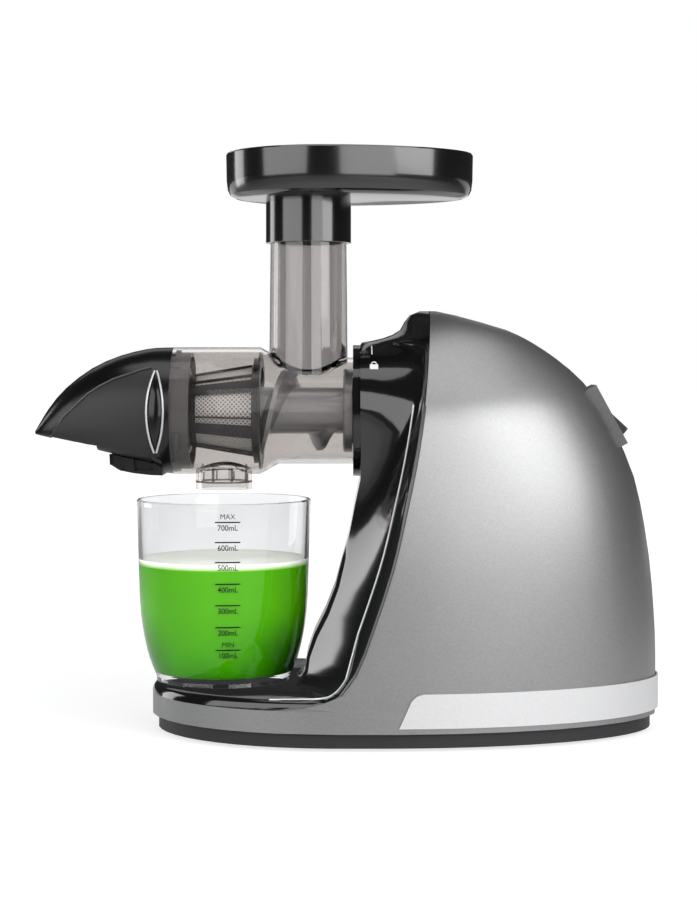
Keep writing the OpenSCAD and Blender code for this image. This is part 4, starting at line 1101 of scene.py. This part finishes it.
@dataclass
class Jug:
    """Jug with its juice and printed scale."""

    centre: Point = (SPOUT_X, 0.0, 0.031)
    rim_r: float = 0.0557
    height: float = 0.1147
    wall: float = 0.0024
    floor: float = 0.006
    level: float = 0.0735
    foam: float = 0.0034
    into_glass: float = 0.0013
    off_floor: float = -0.0002
    print_lift: float = 0.00012
    scale_x: float = 0.0058
    line_size: Flat = (0.0156, 0.0008)
    label_drop: float = 0.0036
    limit_rise: float = 0.0033
    sizes: Flat = (0.0048, 0.0046)
    squeeze: float = 0.95
    weight: float = 0.00004
    lines: tuple[tuple[float, str, str], ...] = (
        (0.1348, "700mL", "MAX"),
        (0.1225, "600mL", ""),
        (0.1102, "500mL", ""),
        (0.0968, "400mL", ""),
        (0.0837, "300mL", ""),
        (0.0701, "200mL", ""),
        (0.0558, "100mL", "MIN"),
    )
    follow: tuple[float, ...] = (0.12, 0.16, 0.2, 0.25, 0.3, 0.37, 0.46)
    shape: tuple[Flat, ...] = (
        (0.045, 0.79), (0.1, 0.835), (0.16, 0.873), (0.22, 0.902), (0.28, 0.925),
        (0.35, 0.945), (0.45, 0.962), (0.6, 0.972), (0.8, 0.985), (1.0, 1.0),
    )

    def outer(self, share: float) -> float:
        """Outer radius at a share of the height."""
        for (s0, r0), (s1, r1) in zip(self.shape, self.shape[1:]):
            if share <= s1:
                return self.rim_r * (r0 + (r1 - r0) * max(0.0, share - s0) / (s1 - s0))
        return self.rim_r

    def inner(self, height: float) -> float:
        """Radius of the juice at a height, just inside the glass's inner face."""
        return self.outer(height / self.height) - self.wall + self.into_glass

    def build(self) -> None:
        """Dresses the jug, fills it and prints its scale."""
        dress(jug=Finish.JUG)
        juice = self.fill("juice", self.juice_profile(), Finish.JUICE)
        foam = self.fill("juice_foam", self.foam_profile(), Finish.FOAM)
        for clear in (juice, foam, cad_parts["jug"]):
            clear.visible_glossy = False
        self.scale()

    def juice_profile(self) -> list[Flat]:
        """Half section of the juice, from the floor up, with its lower corner rounded."""
        base = self.floor + self.off_floor
        wet = [(0.0, base), (self.inner(base) - 0.001, base)]
        wet += [(self.inner(base + 0.0015), base + 0.0015)]
        for share in (*self.follow, self.level / self.height):
            wet.append((self.inner(share * self.height), share * self.height + 0.0004))
        return [*wet, (0.0, self.level)]

    def foam_profile(self) -> list[Flat]:
        """Half section of the foam, which climbs the glass and dips in the middle."""
        low, high = self.level + 0.00002, self.level + self.foam
        rim = self.inner(high)
        climb = [(rim, high + 0.0004), (rim - 0.0015, high)]
        return [(0.0, low), (rim, low), *climb, (0.0, high - 0.0003)]

    def fill(self, name: str, profile: Sequence[Flat], finish: Finish) -> bpy.types.Object:
        """Spins a half section about the jug's axis into a piece that rides the jug."""
        form = Form().turned(profile, self.centre).crease(TURNED_CREASE)
        return form.piece(name, "jug", finish, "jug_clear")

    def scale(self) -> None:
        """Prints the lines and volumes on the side that faces the user."""
        page = Form()
        label_size, limit_size = self.sizes
        for z, label, limit in self.lines:
            page.bar((self.scale_x, z), self.line_size)
            below = (self.scale_x, z - self.label_drop)
            page.words(label, below, label_size, self.squeeze, self.weight)
            if limit:
                above = (self.scale_x, z + self.limit_rise)
                page.words(limit, above, limit_size, self.squeeze)

        def on_glass(x: float, z: float) -> Vector:
            """Point just outside the glass for a point of the page."""
            radius = self.outer((z - self.centre[2]) / self.height) + self.print_lift
            turn = x / radius
            return Vector((self.centre[0] + radius * math.sin(turn), -radius * math.cos(turn), z))

        scale = page.laid_on(on_glass).piece("jug_scale", "jug", Finish.PRINT, "inner_black")
        scale.visible_shadow = False


# ---------------- studio


@dataclass
class Studio:
    """Camera, floor, world and lamps."""

    frame_px: tuple[int, int] = (697, 900)
    focal_px: float = 1915.0
    horizon_px: float = 366.0
    centre_px: float = 348.0
    eye: Point = (0.0, -EYE_AWAY, EYE_Z)
    sensor: float = 24.0
    floor_size: float = 12.0
    aim: Point = (0.05, 0.0, 0.17)
    lamps: tuple[tuple[str, Point, Flat, float], ...] = (
        ("key", (1.24, -0.92, 0.92), (0.9, 1.4), 17.0),
        ("front", (0.70, -1.56, 0.79), (1.0, 1.4), 12.0),
        ("left", (-1.16, -1.21, 0.73), (1.8, 1.1), 14.0),
        ("overhead", (0.1, -0.25, 1.9), (1.7, 1.2), 11.0),
        ("back_left", (-1.77, 0.77, 0.5), (0.66, 1.2), 7.0),
        ("back_top", (-0.2, 1.5, 1.1), (1.6, 0.5), 1.3),
    )

    def camera(self) -> None:
        """Adds the camera, level, with the frame moved down by its shift."""
        lens = bpy.data.cameras.new("camera")
        wide, tall = self.frame_px
        lens.sensor_fit = "VERTICAL"
        lens.sensor_height = self.sensor
        lens.lens = self.focal_px / tall * self.sensor
        lens.shift_y = (self.horizon_px - tall / 2) / tall
        lens.shift_x = (wide / 2 - self.centre_px) / tall
        lens.clip_start = 0.05
        lens.clip_end = 50.0
        made = bpy.data.objects.new("camera", lens)
        made.location = self.eye
        made.rotation_euler = (math.pi / 2, 0.0, 0.0)
        bpy.context.scene.collection.objects.link(made)
        bpy.context.scene.camera = made

    def world(self) -> None:
        """White for the camera and clear pieces, dim for everything else."""
        world = bpy.data.worlds.new("studio")
        bpy.context.scene.world = world
        world.use_nodes = True
        tree = world.node_tree
        tree.nodes.clear()
        path = tree.nodes.new("ShaderNodeLightPath")
        surface = None
        for ray, colour, strength in (
            (None, (0.92, 0.95, 1.0), 0.22),
            ("Is Glossy Ray", (0.95, 0.97, 1.0), 0.04),
            ("Is Transmission Ray", (1.0, 1.0, 1.0), 1.0),
            ("Is Camera Ray", (1.0, 1.0, 1.0), 1.0),
        ):
            node = tree.nodes.new("ShaderNodeBackground")
            node.inputs["Color"].default_value = (*colour, 1.0)
            node.inputs["Strength"].default_value = strength
            if ray:
                mixed = tree.nodes.new("ShaderNodeMixShader")
                tree.links.new(path.outputs[ray], mixed.inputs[0])
                tree.links.new(surface, mixed.inputs[1])
                tree.links.new(node.outputs[0], mixed.inputs[2])
                surface = mixed.outputs[0]
            else:
                surface = node.outputs[0]
        out = tree.nodes.new("ShaderNodeOutputWorld")
        tree.links.new(surface, out.inputs[0])

    def floor(self) -> None:
        """A pale floor that keeps the machine's shadow and runs into the white behind it.

        Glossy pieces see it lit near the machine and again behind it.
        """
        form = Form()
        bmesh.ops.create_grid(form.bm, x_segments=1, y_segments=1, size=self.floor_size)
        mesh = bpy.data.meshes.new("studio_floor")
        form.bm.to_mesh(mesh)
        form.bm.free()
        made = bpy.data.objects.new("studio_floor", mesh)
        bpy.context.scene.collection.objects.link(made)
        shade = Shade("floor_white")
        path = shade.node("ShaderNodeLightPath")
        kinds = ("Camera", "Transmission", "Glossy")
        camera, through, glossy = (Value(shade, path.outputs[f"Is {kind} Ray"]) for kind in kinds)
        x, y, _ = shade.axes()
        away = (x * x + y * y) ** 0.5
        far = away.ramp(0.25, 1.3)
        near_and_back = (1 - away.ramp(0.4, 1.1)) * 0.45 + y.ramp(0.9, 1.6) * 0.7
        seen = camera.larger(through).larger(glossy * near_and_back)
        grain = shade.noise(30.0)
        lit = shade.principled(
            Base_Color=shade.mix(grain, (0.36, 0.36, 0.36), (0.38, 0.38, 0.38)),
            Roughness=0.7,
            Specular_IOR_Level=0.2,
        )
        tone = shade.mix(far, (0.74, 0.74, 0.74), (1.0, 1.0, 1.0))
        glow = shade.node("ShaderNodeEmission", None, {"Color": tone, "Strength": seen}).outputs[0]
        both = shade.node("ShaderNodeAddShader", None, {0: lit, 1: glow}).outputs[0]
        mesh.materials.append(shade.finish(both))

    def lamp(self, name: str, place: Point, size: Flat, watts: float) -> None:
        """Adds a soft box that points at the machine.

        Args:
            name: the lamp's name.
            place: where it hangs.
            size: its width and height.
            watts: its power.
        """
        light = bpy.data.lights.new(name, "AREA")
        light.shape = "RECTANGLE"
        light.size, light.size_y = size
        light.energy = watts
        made = bpy.data.objects.new(name, light)
        made.location = place
        way = Vector(self.aim) - Vector(place)
        made.rotation_euler = way.to_track_quat("-Z", "Y").to_euler()
        made.visible_camera = False
        bpy.context.scene.collection.objects.link(made)

    def build(self) -> None:
        """Sets the whole studio."""
        self.camera()
        self.world()
        self.floor()
        for row in self.lamps:
            self.lamp(*row)
        LOG.info("studio set")


def main() -> None:
    """Builds the studio and the machine, piece by piece."""
    logging.basicConfig(level=logging.INFO, format="%(name)s %(message)s", stream=sys.stdout)
    bpy.context.scene.view_settings.view_transform = "Standard"
    for part in (Studio(), Housing(), Drive(), JuicingHead(), Jug()):
        part.build()
        LOG.info("%s done", type(part).__name__)


if __name__ == "__main__":
    main()
